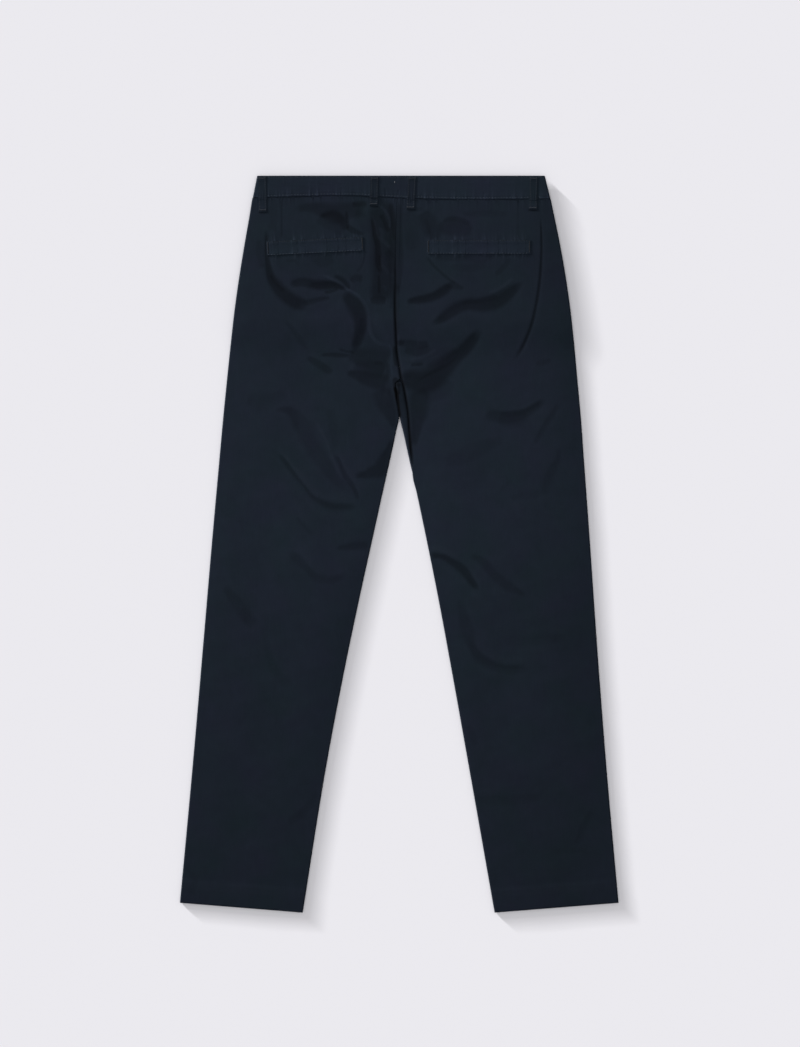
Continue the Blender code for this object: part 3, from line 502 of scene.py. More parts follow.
def smooth_through(places, values):
    """Return a smooth function that has given values, or rows of values, at given places."""
    slopes = np.gradient(values, places, axis=0)

    def value(where):
        where = np.clip(where, places[0], places[-1])
        low = np.clip(np.searchsorted(places, where) - 1, 0, len(places) - 2)
        span = places[low + 1] - places[low]
        part = (where - places[low]) / span
        if values.ndim > 1:
            span, part = span[:, None], part[:, None]
        rest = 1 - part
        level = values[low] * (1 + 2 * part) * rest ** 2 + values[low + 1] * (1 + 2 * rest) * part ** 2
        return level + span * part * rest * (slopes[low] * rest - slopes[low + 1] * part)

    return value


def curve_through(rows, at, column):
    """Return a smooth function that passes through one column of a table."""
    places = np.array([getattr(row, at) for row in rows], dtype=float)
    return smooth_through(places, np.array([getattr(row, column) for row in rows], dtype=float))


outer_edge, inner_edge = (
    {side: curve_through(rows, "below", where) for side, where in SIDES} for rows in (OUTLINE, INNER))
loft = curve_through(OUTLINE, "below", "loft")
seat_seam_x, seat_seam_dip, seat_seam_turn, seat_seam_shade = (
    curve_through(SEAT_SEAM, "below", column) for column in ("x", "dip", "turn", "shade"))
tone_along = curve_through(TONES, "below", "share")
tone_across = curve_through(SIDE_TONES, "x", "share")
band_seam = curve_through(BAND_SEAM, "x", "below")


def smooth_step(value, low, high):
    part = np.clip((value - low) / (high - low), 0, 1)
    return part * part * (3 - 2 * part)


def between(value, rise, fall):
    """1 between the stretch over which it rises from 0 and the one over which it falls back."""
    return smooth_step(value, *rise) * (1 - smooth_step(value, *fall))


def ridge(distance, width):
    """Height of a smooth ridge, which is 1 on its line."""
    return np.exp(-(distance / width) ** 2)


def mix(low, high, part):
    return low + (high - low) * part


def lift(below):
    """Height of the garment's underside over the floor."""
    return LIFT * (1 - smooth_step(below, *LIFT_END))


def fold_line(spots):
    """A fold's spots with smooth steps between them, as rows of x, below and width."""
    along = smooth_through(np.arange(len(spots)), np.array(spots, dtype=float))
    return along(np.linspace(0, len(spots) - 1, (len(spots) - 1) * FOLD_STEPS + 1))


def beside_fold(line, x, below):
    """Distance of points to the right of a fold's line, its width there, and how far it has run out."""
    nearest = np.full(x.shape, np.inf)
    offset, width, place = np.zeros(x.shape), np.zeros(x.shape), np.zeros(x.shape)
    lengths = lengths_along(line)
    for step, (start, end) in enumerate(zip(line, line[1:])):
        along = (end - start)[:2]
        off_x, off_below = x - start[0], below - start[1]
        part = np.clip((off_x * along[0] + off_below * along[1]) / along.dot(along), 0, 1)
        off_x, off_below = off_x - part * along[0], off_below - part * along[1]
        away = np.hypot(off_x, off_below)
        nearer = away < nearest
        right = (off_below * along[0] - off_x * along[1]) / np.hypot(*along)
        offset = np.where(nearer, np.copysign(away, right), offset)
        width = np.where(nearer, mix(start[2], end[2], part), width)
        place = np.where(nearer, mix(lengths[step], lengths[step + 1], part) / lengths[-1], place)
        nearest = np.minimum(away, nearest)
    return offset, width, smooth_step(np.minimum(place, 1 - place), 0, FOLD_TAPER)


def shade_profile(across, lean):
    """How dark a fold's painted shade is at a place across it, which is 0 on its line."""
    run, leaning = SHADE_SOFTNESS
    left, right = (SHADE_REACH - run - leaning * max(lean * way, 0) for way in (1, -1))
    return between(across, (-SHADE_REACH, -left), (right, SHADE_REACH))


def fold_shapes(folds, x, below, parted=True):
    """Height that the folds near each point give it, and the share of its colour kept under their painted
    shade and highlight.

    Folds that are parted keep to their own half of the garment.
    """
    height, kept = np.zeros(x.shape), np.ones(x.shape)
    for fold in folds:
        line = fold_line(fold.spots)
        reach = 2 * np.maximum(RECOVERY * line[:, 2].max(), RECOVERY_LEAST)
        near = (x > line[:, 0].min() - reach) & (x < line[:, 0].max() + reach)
        near &= (below > line[:, 1].min() - reach) & (below < line[:, 1].max() + reach)
        if parted:
            near &= on_left(x, below) == on_left(*fold.spots[len(fold.spots) // 2][:2])
        if not near.any():
            continue
        offset, width, share = beside_fold(line, x[near], below[near])
        level = 0.5 - smooth_step(offset, -width / 2, width / 2)
        level *= ridge(offset, np.maximum(RECOVERY * width, RECOVERY_LEAST))
        height[near] += share * (fold.drop * level - fold.dip * ridge(2 * offset, width))
        kept[near] *= 1 - share * fold.shade * shade_profile(offset / width, fold.lean)
    return height, kept


def on_left(x, below):
    """Whether points belong to the wearer's left half of the garment."""
    return x < np.where(below < LEG_GAP, seat_seam_x(below), 0)


def pucker(along, distance):
    """Height of the puckers that a row of stitches draws, at a distance from it."""
    wave = sum(np.sin(2 * math.pi * along / p.length + p.phase) for p in PUCKERS)
    return PUCKER_HEIGHT * np.maximum(wave, 0) * np.exp(-np.abs(distance) / PUCKER_REACH)


def glow(along, distance):
    """Share that the backs of the puckers beside a seam add to the cloth's colour: wear and painted
    highlight.
    """
    return PUCKER_GLOW * pucker(along, 2 * distance) / PUCKER_HEIGHT


def strip_axes(strip):
    """A strip's start, its directions along and across, and its length."""
    start = np.array((strip.x0, strip.below0))
    way = np.array((strip.x1, strip.below1)) - start
    length = np.hypot(*way)
    along = way / length
    return start, along, np.array((-along[1], along[0])), length


def strip_offsets(strip, x, below):
    """Distances of points from a strip's start, along and across it, and its length."""
    start, along, across, length = strip_axes(strip)
    off_x, off_below = x - start[0], below - start[1]
    return off_x * along[0] + off_below * along[1], off_x * across[0] + off_below * across[1], length


def back_shapes(x, below):
    """What rises over or sinks under the plain loft of the back, and the share of colour it keeps under
    painted shade and highlight.
    """
    from_seam = x - seat_seam_x(below)
    sewn = below < INSEAM_END
    relief, kept = fold_shapes(FOLDS, x, below)
    kept = kept * fold_shapes(GAP_FOLDS, x, below, parted=False)[1]
    relief = relief * np.where(sewn, 1 - ridge(from_seam, SEWN_REACH), 1)
    for swell in SWELLS:
        heading = math.radians(swell.heading)
        along = x * math.cos(heading) + below * math.sin(heading)
        relief += swell.height * np.sin(2 * math.pi * along / swell.length + swell.phase)
    relief += pucker(x, below - band_seam(x))
    for strip in WELTS:
        along, across, length = strip_offsets(strip, x, below)
        beside = np.abs(across) - WELT_HEIGHT / 2
        first, last = WELT_PUCKER_ENDS
        over = between(along, (first, last), (length - last, length - first))
        relief += WELT_PUCKERS * over * pucker(along, beside)
        kept = kept * (1 + over * glow(along, np.maximum(beside, 0)))
    allowance = between(from_seam, (0, ALLOWANCE_EDGE), (ALLOWANCE_WIDTH - ALLOWANCE_EDGE, ALLOWANCE_WIDTH))
    relief += ALLOWANCE_HEIGHT * allowance * (1 - smooth_step(below, *ALLOWANCE_END))
    # painted shade along the seat seam
    seam = np.where(sewn, ridge(2 * from_seam, SEAT_SEAM_WIDTH), 0)
    return relief - seat_seam_dip(below) * seam, kept * (1 - seat_seam_shade(below) * seam)


def hem_relief(from_hem):
    return HEM_HEIGHT * (1 - smooth_step(from_hem, HEM_DEPTH - 1, HEM_DEPTH + 1))


def back_height(side, x, below):
    """Height of the outer face of the back over the floor."""
    x, below = np.broadcast_arrays(np.asarray(x, dtype=float), below)
    from_outer = outer_edge[side](below) - side * x
    from_inner = side * x - inner_edge[side](below)
    from_gap = np.hypot(x, LEG_GAP - below)
    from_edge = np.minimum(from_outer, np.where(below < LEG_GAP, from_gap, from_inner))
    inside = np.maximum(from_edge - EDGE_RADIUS, 0)
    above = (loft(below) - EDGE_RISE) * (1 - np.exp(-inside / LOFT_RUN)) + back_shapes(x, below)[0]
    lowest = lift(below) + 2 * EDGE_RADIUS
    return lowest + TROUGH_SOFTNESS * np.logaddexp(0, above / TROUGH_SOFTNESS)


def lip_drop(distance, radius):
    """How far a rounded edge falls away at a distance from its end."""
    inwards = radius - np.clip(distance, 0, radius)
    return radius - np.sqrt(radius ** 2 - inwards ** 2)


def lip_steps(radius):
    """Distances from an edge at which its rounding is divided."""
    return radius * (1 - np.cos(QUARTER))


def lipped(length, radius, steps):
    """Distances at which a length with two rounded ends is divided."""
    ends = lip_steps(radius)
    middle = np.linspace(radius, length - radius, steps + 1)[1:-1]
    return np.concatenate((ends, middle, length - ends[::-1]))


# ---------------------------------------------------------------- shells
def points_at(x, below, height):
    return np.stack(np.broadcast_arrays(x, LENGTH / 2 - below, height), axis=-1) * MM


def proud_of(outside):
    """How far each point of a grid stands over the mean of four points round it, in mm."""
    height = outside[..., 2] / MM
    rows, columns = height.shape
    if min(rows, columns) < 4 * WEAR_AND_HIGHLIGHT_STEPS:
        return np.zeros(height.shape)
    ends, near = slice(2 * WEAR_AND_HIGHLIGHT_STEPS, -2 * WEAR_AND_HIGHLIGHT_STEPS), WEAR_AND_HIGHLIGHT_STEPS
    inner = height[ends, ends]
    around = sum(
        height[2 * near + down:rows - 2 * near + down, 2 * near + right:columns - 2 * near + right]
        for down, right in ((-near, 0), (near, 0), (0, -near), (0, near))
    ) / 4
    return np.pad(inner - around, 2 * WEAR_AND_HIGHLIGHT_STEPS)


def placed(name, data):
    """Add an object to the scene."""
    made = bpy.data.objects.new(name, data)
    bpy.context.scene.collection.objects.link(made)
    return made


def finished(name, mesh, material, replaced=None):
    """Turn a mesh into a piece of the garment that rides on its body."""
    mesh.materials.append(material)
    mesh.shade_smooth()
    piece = placed(name, mesh)
    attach(piece, "root")
    if replaced:
        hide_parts(replaced)
    return piece


def shell(name, outside, inside, material, kept=1.0):
    """Close a cloth shell between an outer grid of points and every fourth point of an inner one.

    kept is the share of its colour that the cloth keeps under painted shade and highlight at each point of
    the outer grid.
    """
    rows, columns = outside.shape[:2]
    inside = inside[::CHUNK, ::CHUNK]
    outer = np.arange(rows * columns).reshape(rows, columns)
    inner = np.arange(inside.shape[0] * inside.shape[1]).reshape(inside.shape[:2]) + outer.size
    faces = []
    for grid, order in ((outer, 1), (inner, -1)):
        quads = np.stack((grid[:-1, :-1], grid[1:, :-1], grid[1:, 1:], grid[:-1, 1:]), axis=-1)
        faces += quads.reshape(-1, 4)[:, ::order].tolist()
    outer_rim, inner_rim = (
        np.concatenate((g[:, 0], g[-1, 1:], g[-2::-1, -1], g[0, -2::-1])).tolist() for g in (outer, inner))
    for step in range(len(inner_rim) - 1):
        chunk = outer_rim[step * CHUNK:(step + 1) * CHUNK + 1]
        faces.append([inner_rim[step], inner_rim[step + 1], *chunk[::-1]])
    points = np.concatenate((outside.reshape(-1, 3), inside.reshape(-1, 3)))
    mesh = bpy.data.meshes.new(name)
    mesh.from_pydata(points.tolist(), [], faces)
    # the tone attribute holds painted shade and painted light: the folds' and seams', and the cloth's
    # overall
    tone = kept * tone_along(LENGTH / 2 - outside[..., 1] / MM) * tone_across(outside[..., 0] / MM)
    for attribute, values in (("worn_and_highlit", np.clip(proud_of(outside) / WEAR_AND_HIGHLIGHT_RANGE, 0, 1)), ("tone", tone)):
        shares = np.ones(len(points), dtype=np.float32)
        shares[:outer.size] = values.ravel()
        mesh.attributes.new(attribute, "FLOAT", "POINT").data.foreach_set("value", shares)
    corners = outside[::CHUNK, ::CHUNK]
    across = np.cross(corners[1:, :-1] - corners[:-1, :-1], corners[:-1, 1:] - corners[:-1, :-1])
    if (across * (corners - inside)[:-1, :-1]).sum() < 0:
        mesh.flip_normals()
    return finished(PREFIX + name, mesh, material, name)


def turned_edge(x_flat, level, outward, reach, fall, turn):
    """x and height of a face that turns outwards and down from a flat part's end."""
    return x_flat + outward * reach * np.sin(turn), level - fall * (1 - np.cos(turn))


def rolled_edge(x_flat, outside, inside, outward, radius, cloth, seam, turn):
    """Both faces of an edge that turns outwards from a flat part's end to a seam at some height."""
    x, z = turned_edge(x_flat, outside, outward, radius, outside - seam, turn)
    x_in, z_in = turned_edge(x_flat, inside, outward, radius - cloth, inside - seam, turn)
    return np.stack(np.broadcast_arrays(x, z, x_in, z_in))


def panel_rows():
    """Distances below the waist of the panels' sections."""
    top = PANEL_TOP + lip_steps(TOP_LIP)
    seat = np.linspace(top[-1], ROW_CHANGE, SEAT_STEPS + 1)[1:]
    leg = np.linspace(ROW_CHANGE, LENGTH - HEM_LIP, LEG_STEPS + 1)[1:]
    hem = LENGTH - lip_steps(HEM_LIP)[-2::-1]
    return np.concatenate((top, seat, leg, hem))[:, None]


def uneven(count):
    """Shares of a section's width, closer together near its ends."""
    part = np.linspace(0, 1, count + 1)
    return part + GRIP * np.sin(2 * math.pi * part) / (2 * math.pi)


def slanted(row):
    """Distance below the waist of a section's outer end."""
    return row - HEM_SLANT * smooth_step(row, LEG_GAP, LENGTH)


def below_along(side, row, x):
    """Distance below the waist of each point of a section; the first sections follow the band."""
    x_in, x_out = side * inner_edge[side](row), side * outer_edge[side](slanted(row))
    across = np.clip((x - x_in) / (x_out - x_in), 0, 1)
    to_band = (band_seam(x) + SEAM_GAP - PANEL_TOP) * (1 - smooth_step(row, *TO_BAND))
    return row + across * (slanted(row) - row) + to_band


def end_lips(row):
    """How far the ends of a panel at the waistband and the hem fall away."""
    top, hem = lip_drop(row - PANEL_TOP, TOP_LIP), lip_drop(LENGTH - row, HEM_LIP)
    return TOP_LIP_DROP * top + HEM_LIP_DROP * hem


def back_panel(name, side):
    """A back panel, with columns from the side seam to the seat seam or inseam."""
    row = panel_rows()
    x_side = side * (outer_edge[side](slanted(row)) - EDGE_RADIUS)
    seam_level = EDGE_RADIUS + SEAM_GAP / 2
    rolled = smooth_step(row, *(CROTCH_ROWS if side == LEFT else INSEAM_ROLL))
    x_end = mix(seat_seam_x(row) + side * SEAM_GAP / 2, side * inner_edge[side](row), rolled)
    reach = mix(seat_seam_turn(row), EDGE_RADIUS, rolled)
    x_flat = x_end + side * reach

    x = mix(x_side, x_flat, uneven(BACK_STEPS))
    below = below_along(side, row, x)
    height = back_height(side, x, below) + hem_relief(LENGTH - row)
    under = height - CLOTH
    kept = np.pad(back_shapes(x, below)[1], ((0, 0), (CHUNK, END_STEPS)), mode="edge")
    outer = rolled_edge(x_side, height[:, :1], under[:, :1], side, EDGE_RADIUS, CLOTH,
                        lift(slanted(row)) + seam_level, QUARTER[:0:-1])

    end_fall = height[:, -1:] - lift(row) - seam_level
    turn = quarter(END_STEPS)[1:]
    fall = mix(END_FALL * seat_seam_turn(row), end_fall, rolled)
    reach_in = mix(seat_seam_turn(row), EDGE_RADIUS - CLOTH, rolled)
    fall_in = (end_fall - CLOTH) * rolled
    inner = np.stack((*turned_edge(x_flat, height[:, -1:], -side, reach, fall, turn),
                      *turned_edge(x_flat, under[:, -1:], -side, reach_in, fall_in, turn)))

    xs, outside, xs_in, inside = np.concatenate((outer, np.stack((x, height, x, under)), inner), axis=2)
    below = below_along(side, row, xs)
    outside = points_at(xs, below, outside - end_lips(row))
    return shell(name, outside, points_at(xs_in, below, inside), twill_lengthwise, kept)


def front_lap(row, x_in):
    """End of the right front where it laps over the leg's edge to the inseam on top."""
    centre = x_in + EDGE_RADIUS
    turn = np.linspace(0, math.pi, WRAP_BEND_STEPS + 1)
    share = np.sin(quarter(WRAP_STEPS - WRAP_BEND_STEPS))
    x_end = seat_seam_x(row) - SEAM_GAP / 2
    x_top = mix(centre, np.maximum(x_end, centre + LAP_LEAST), share)
    top = back_height(RIGHT, x_top, row) - lift(row)
    middle = top[:, :1] / 2
    bend = rolled_edge(centre, 0.0, CLOTH, LEFT, EDGE_RADIUS, CLOTH, middle, turn)
    drop = END_FALL * lip_drop(x_end - x_top, seat_seam_turn(row))
    over = np.stack((x_top, top - drop, x_top, top - CLOTH))
    return np.concatenate((bend, over[:, :, 1:]), axis=2)


def front_panel(name, side):
    """A front panel, with columns from the side seam to the centre front or inseam."""
    row = panel_rows()
    x_side = side * (outer_edge[side](slanted(row)) - EDGE_RADIUS)
    parted = smooth_step(row, *CROTCH_ROWS)
    x_leg = side * inner_edge[side](row)
    if side == RIGHT:
        x_leg = x_leg - THIGHS_TOUCH * (1 - smooth_step(row, *TOUCH_END))
    x_in = mix(side * SEAM_GAP / 2, x_leg, parted)

    x = mix(x_side, x_in + side * WRAP_START, uneven(FRONT_STEPS))
    creased = np.maximum(-fold_shapes(FRONT_FOLDS, x, below_along(side, row, x))[0], 0)
    middle = np.stack(np.broadcast_arrays(x, creased, x, CLOTH))
    seam = EDGE_RADIUS - SEAM_GAP / 2
    outer = rolled_edge(x_side, 0.0, CLOTH, side, EDGE_RADIUS, CLOTH, seam, QUARTER[:0:-1])

    x_last = mix(x_in + side * WRAP_START, x_in, np.linspace(0, 1, WRAP_STEPS + 1))
    flat_end = np.stack(np.broadcast_arrays(x_last, 0.0, x_last, CLOTH))
    leg_end = rolled_edge(
        x_leg + side * EDGE_RADIUS, 0.0, CLOTH, -side, EDGE_RADIUS, CLOTH, seam, quarter(WRAP_STEPS))
    if side == RIGHT:
        leg_end = mix(front_lap(row, x_leg), leg_end, smooth_step(row, *INSEAM_ROLL))
    inner = mix(flat_end, leg_end, parted)[:, :, 1:]

    xs, outside, xs_in, inside = np.concatenate((outer, middle, inner), axis=2)
    below = below_along(side, row, xs)
    shades = back_shapes(xs, below)[1], fold_shapes(FRONT_FOLDS, xs, below)[1]
    kept = np.where(outside > EDGE_RADIUS, *shades)
    outside = points_at(xs, below, outside + lift(below) + end_lips(row) * (outside < CLOTH))
    inside = points_at(xs_in, below, inside + lift(below))
    return shell(name, outside, inside, twill_lengthwise, kept)


# ---------------------------------------------------------------- waistband
BAND_LIP = 1.0
BAND_ROW_STEPS = 24
BAND_DITCH = 0.18           # the stitches draw the band in by this much
DITCH_WIDTH = 0.8
BAND_STITCH = 2.2           # distance of the stitching from the band's edges
BAND_SHADE = 0.10           # the band is this much darker round its middle
BAND_SHADED = ((-34.0, -26.0), (20.0, 25.0))
BAND_WAVES = (3, 40)        # the puckers of its lower and upper row of stitches are shifted by these
BACK_PUCKERS, FRONT_PUCKERS = (1.2, 0.35), (0.5, 0.5)   # their height along the lower and upper row
BAND_GLOWS = (1.0, 0.4)
BAND_STEPS = {"waistband_back": 320, "waistband_front_left": 160, "waistband_front_right": 140}
WRINKLE_RUNS = ((0, 4), (-4, 1))                # a wrinkle starts and ends over these distances
WRINKLES = table(
    "x below0 below1 width depth",
    (-19.8, 17, 31, 1.6, 0.5),
    (-1.2, 18, 31, 1.6, 0.5),
    (25.4, 0, 33, 1.2, 0.3),
    (193.5, -1, 11, 1.2, 0.3),
    (-118.0, 20, 31, 1.4, 0.25),
    (121.0, 22, 34, 1.4, 0.25),
)


def along_band(shape, x, below, shares):
    """What a shape makes along the band's lower and upper rows of stitches, by a share for each."""
    rows = band_seam(x) - below, below
    return sum(share * shape(x + shift, row) for share, shift, row in zip(shares, BAND_WAVES, rows))


def band_relief(x, below):
    """Puckers, stitch ditches and small wrinkles of the waistband."""
    total = along_band(pucker, x, below, BACK_PUCKERS)
    for row in (BAND_STITCH, band_seam(x) - BAND_STITCH):
        total = total - BAND_DITCH * ridge(below - row, DITCH_WIDTH)
    for wrinkle in WRINKLES:
        over = between(below, *np.add(WRINKLE_RUNS, ((wrinkle.below0,), (wrinkle.below1,))))
        total = total - wrinkle.depth * over * ridge(2 * (x - wrinkle.x), wrinkle.width)
    return total


def band_height(x, below):
    """Height of the back waistband's outer face, without its rounded edges."""
    ends = -outer_edge[LEFT](below), outer_edge[RIGHT](below)
    inside = np.maximum(np.minimum(x - ends[0], ends[1] - x) - BAND_RADIUS, 0)
    return LIFT + 2 * BAND_RADIUS + BAND_LOFT * (1 - np.exp(-inside / LOFT_RUN)) + band_relief(x, below)


def band_shell(name, ends, level, up):
    """A stretch of waistband between two ends, rolled up or down to the seam where it ends at a side.

    Each end is a side seam or an x. level gives the height of its outer face, and up is 1 on the back
    and -1 on the front.
    """
    part = lipped(band_seam(0.0), BAND_LIP, BAND_ROW_STEPS)[:, None] / band_seam(0.0)
    x_ends = (band_end(end, part) if end in (LEFT, RIGHT) else end for end in ends)
    x = mix(*x_ends, np.linspace(0, 1, BAND_STEPS[name] + 1))
    below = part * band_seam(x)
    drop = up * BAND_LIP_DROP * lip_drop(np.minimum(below, band_seam(x) - below), BAND_LIP)
    flat = np.stack((x, level(x, below) - drop, x, level(x, below) - up * BAND_CLOTH + drop))
    blocks = [flat]
    seam = LIFT + BAND_RADIUS + up * SEAM_GAP / 2
    for side, at, turn in ((LEFT, 0, QUARTER[:0:-1]), (RIGHT, -1, QUARTER[1:])):
        if side in ends:
            x_flat, outside, _, inside = flat[:, :, [at]]
            roll = rolled_edge(x_flat, outside, inside, side, BAND_RADIUS, BAND_CLOTH, seam, turn)
            blocks = [roll, *blocks] if side == LEFT else [*blocks, roll]
    xs, outside, xs_in, inside = np.concatenate(blocks, axis=2)
    below = part * band_seam(xs)
    # darker round the band's middle, with wear and painted highlight on its puckers
    kept = (1 - BAND_SHADE * between(xs, *BAND_SHADED)) * (1 + along_band(glow, xs, below, BAND_GLOWS))
    outside, inside = points_at(xs, below, outside), points_at(xs_in, below, inside)
    return shell(name, outside, inside, twill_crosswise, kept)


def band_end(side, part):
    """x where the flat part of the waistband ends at a side seam, at a share of its height."""
    lowest = band_seam(side * outer_edge[side](0))
    return side * (outer_edge[side](part * lowest) - BAND_RADIUS)


def waistband():
    """The back waistband and the two fronts, of which the left one laps over the right one."""
    def front_level(x, below):
        return LIFT + along_band(pucker, x, below, FRONT_PUCKERS)

    return (
        band_shell("waistband_back", (LEFT, RIGHT), band_height, 1),
        band_shell("waistband_front_left", (LEFT, BAND_LAP), front_level, -1),
        band_shell("waistband_front_right", (BAND_LAP + SEAM_GAP, RIGHT), front_level, -1),
    )


# ---------------------------------------------------------------- strips that lie on the panels
REST_REACH = 2.5
STRIP_LIP_DROP = 0.9        # of the lip's radius


def garment_top(x, below):
    """Height of whatever is on top of the laid-out panels and band."""
    left, right = back_height(LEFT, x, below), back_height(RIGHT, x, below)
    panel = np.where(x < seat_seam_x(below), left, right)
    seam = band_seam(x)
    band = band_height(x, below) - lip_drop(np.minimum(below, seam - below), BAND_LIP)
    return np.where(below < seam, np.maximum(band, panel), panel)


def resting_height(x, below):
    """Height at which a stiffer strip rests on the panels: on the highest points round each place."""
    steps = (-REST_REACH, 0, REST_REACH)
    return np.max([garment_top(x + right, below + down) for right in steps for down in steps], axis=0)


def strip_grid(strip, width, steps, lip):
    """Places of a strip's points, their offsets along and across it, and how far its edges fall there."""
    start, heading, beside, length = strip_axes(strip)
    across, along = np.meshgrid(lipped(width, lip, steps[1]) - width / 2, lipped(length, lip, steps[0]))
    x, below = (start[at] + along * heading[at] + across * beside[at] for at in (0, 1))
    from_edge = np.minimum(np.minimum(along, length - along), width / 2 - np.abs(across))
    return x, below, (along, across, length), STRIP_LIP_DROP * lip_drop(from_edge, lip)


LOOP_LIP = 0.3
LOOP_GAP = 0.12             # under a back loop
LOOP_FOLD = 7.0             # both ends of a loop are folded under for this length
LOOP_STITCH = 1.9           # distance of the stitching from a loop's edges
LOOP_DITCH = 0.06           # depth that its stitches draw it in by
LOOP_DITCH_WIDTH = 0.7
LOOP_FOLD_HEIGHT = 0.15
LOOP_STEPS = (52, 20)       # along and across
UNDER_STEPS = (52, 12)
# Painted light and shade on each belt loop, as a share of the cloth's colour.
LOOP_TONES = {
    "loop_side_left": 1.04, "loop_back_left": 0.84, "loop_back_right": 0.90, "loop_side_right": 1.0,
}


def loop_relief(along, across, length):
    """Folded ends and stitch ditches of a belt loop."""
    folded = 1 - smooth_step(np.minimum(along, length - along), LOOP_FOLD - 1, LOOP_FOLD + 1)
    from_row = np.abs(across) - (LOOP_WIDTH / 2 - LOOP_STITCH)
    return LOOP_FOLD_HEIGHT * folded - LOOP_DITCH * ridge(from_row, LOOP_DITCH_WIDTH)


def back_loop(strip):
    x, below, offsets, drop = strip_grid(strip, LOOP_WIDTH, LOOP_STEPS, LOOP_LIP)
    rest = resting_height(x, below) + LOOP_GAP
    top = rest + LOOP_THICK - drop + loop_relief(*offsets)
    outside, inside = points_at(x, below, top), points_at(x, below, rest)
    piece = shell(strip.name, outside, inside, twill_lengthwise, LOOP_TONES[strip.name])
    return piece, (x, below, top)


WELT_STEPS = (148, 28)
WELT_LIP = 0.25
WELT_EDGE = 1.2
WELT_EDGE_SHADE = 0.3       # painted shade: the welt is this much darker along the pocket's opening
SLIT_BELOW_TOP = 0.9        # the pocket's opening is this far below the welt's upper edge
SLIT_ENDS = 4.0             # the opening stops this far from the welt's ends
SLIT_WIDTH = 0.55
ROLL_WIDTH = 1.8            # of the roll under it
ROLL_BELOW = 2.2
ROLL_HEIGHT = 0.15
WELT_TOP_PUCKERS = 0.3      # height of the puckers on the welt itself, as a share of the others'
WELT_WAVES = 5              # the welt's puckers are shifted by this


def on_welt(shape, along, across):
    """What a shape makes on a welt, along the stitches at both its edges."""
    return shape(along + WELT_WAVES, WELT_HEIGHT - 2 * np.abs(across))


def welt_relief(along, across, length):
    """The opening along a pocket's welt, and the soft roll of the cloth under it."""
    from_slit = across + WELT_HEIGHT / 2 - SLIT_BELOW_TOP
    open_here = between(along, *((end - 1, end + 1) for end in (SLIT_ENDS, length - SLIT_ENDS)))
    roll = ROLL_HEIGHT * (ridge(from_slit - ROLL_BELOW, ROLL_WIDTH) - ridge(from_slit, SLIT_WIDTH))
    return open_here * roll + WELT_TOP_PUCKERS * on_welt(pucker, along, across)


def welt(strip):
    x, below, offsets, drop = strip_grid(strip, WELT_HEIGHT, WELT_STEPS, WELT_LIP)
    along, across, _ = offsets
    rest = resting_height(x, below) + SEAM_GAP / 2
    top = rest + WELT_THICK - drop + welt_relief(*offsets)
    # painted shade along the pocket's opening, and wear and painted highlight on the puckers
    edge = WELT_EDGE_SHADE * ridge(across + WELT_HEIGHT / 2, WELT_EDGE)
    kept = 1 + on_welt(glow, along, across) - edge
    return shell(strip.name, points_at(x, below, top), points_at(x, below, rest), twill_crosswise, kept)


def strip_under(strip, width, thick, relief=None):
    """A strip that lies under the front, its outer face down."""
    x, below, offsets, drop = strip_grid(strip, width, UNDER_STEPS, LOOP_LIP)
    low = UNDER_TOP - thick + drop
    if relief:
        low = low - relief(*offsets)
    return shell(strip.name, points_at(x, below, low), points_at(x, below, UNDER_TOP), twill_lengthwise)


FLY_STEPS, FLY_BEND_STEPS, FLY_STEPS_ACROSS = 60, 32, 24
FLY_LIP = 0.012             # as a share of the fly's width
FLY_TIP = 0.02              # width at its lower end, as a share of the full one


def fly_width(along):
    """Width of the fly at a distance from its top: straight, then curved in to the centre front."""
    from_bend = np.clip(along - (FLY_LENGTH - FLY_BEND), 0, FLY_BEND)
    return FLY_WIDTH * np.sqrt(np.maximum(1 - (from_bend / FLY_BEND) ** 2, FLY_TIP ** 2))


def fly():
    """Fly placket under the left front, from the waistband down, curved at its lower end."""
    straight = FLY_LENGTH - FLY_BEND
    along = np.concatenate((
        lip_steps(LOOP_LIP), np.linspace(LOOP_LIP, straight, FLY_STEPS + 1)[1:],
        straight + FLY_BEND * np.sin(quarter(FLY_BEND_STEPS))[1:],
    ))[:, None]
    width = fly_width(along)
    share = lipped(1.0, FLY_LIP, FLY_STEPS_ACROSS)
    x = -SEAM_GAP - share * width
    from_edge = np.minimum(np.minimum(share, 1 - share) * width, np.minimum(along, FLY_LENGTH - along))
    low = UNDER_TOP - FLY_THICK + STRIP_LIP_DROP * lip_drop(from_edge, LOOP_LIP)
    faces = (points_at(x, FLY_TOP + along, face) for face in (low, UNDER_TOP))
    return shell("fly", *faces, twill_lengthwise)


# ---------------------------------------------------------------- threads
RING_PLACES = np.array((0.0, 0.18, 0.5, 0.82, 1.0))
RING_RADII = np.array((0.45, 0.95, 1.0, 0.95, 0.45))
RING_SINK = np.array((0.3, 0.06, 0.0, 0.06, 0.3))     # the ends of a stitch sink into the cloth
RING_SIDES = 6
PROUD = 0.05                # height of the middles of the stitches over strips
BAND_PROUD, TACK_PROUD, UNDER_TACK_PROUD = 0.1, 0.15, -0.1
BAND_STITCH_ENDS = (-200.0, 205.0)
BAND_PATH_POINTS = 400
LOOP_THREAD = 0.9           # thickness of the back loops' thread, as a share of the other topstitching's
LOOP_TACK_WIDTH = LOOP_WIDTH - 2
LOOP_TACKS = (3.0, 2.6)     # distance of the bar tacks from a back loop's upper and lower end
WELT_INSET, UNDERSTITCH_INSET = 1.5, 0.8        # distance of the stitches from a welt's edges
WELT_TACK_INSET = 1.8
WELT_TACK_WIDTH = WELT_HEIGHT - 4
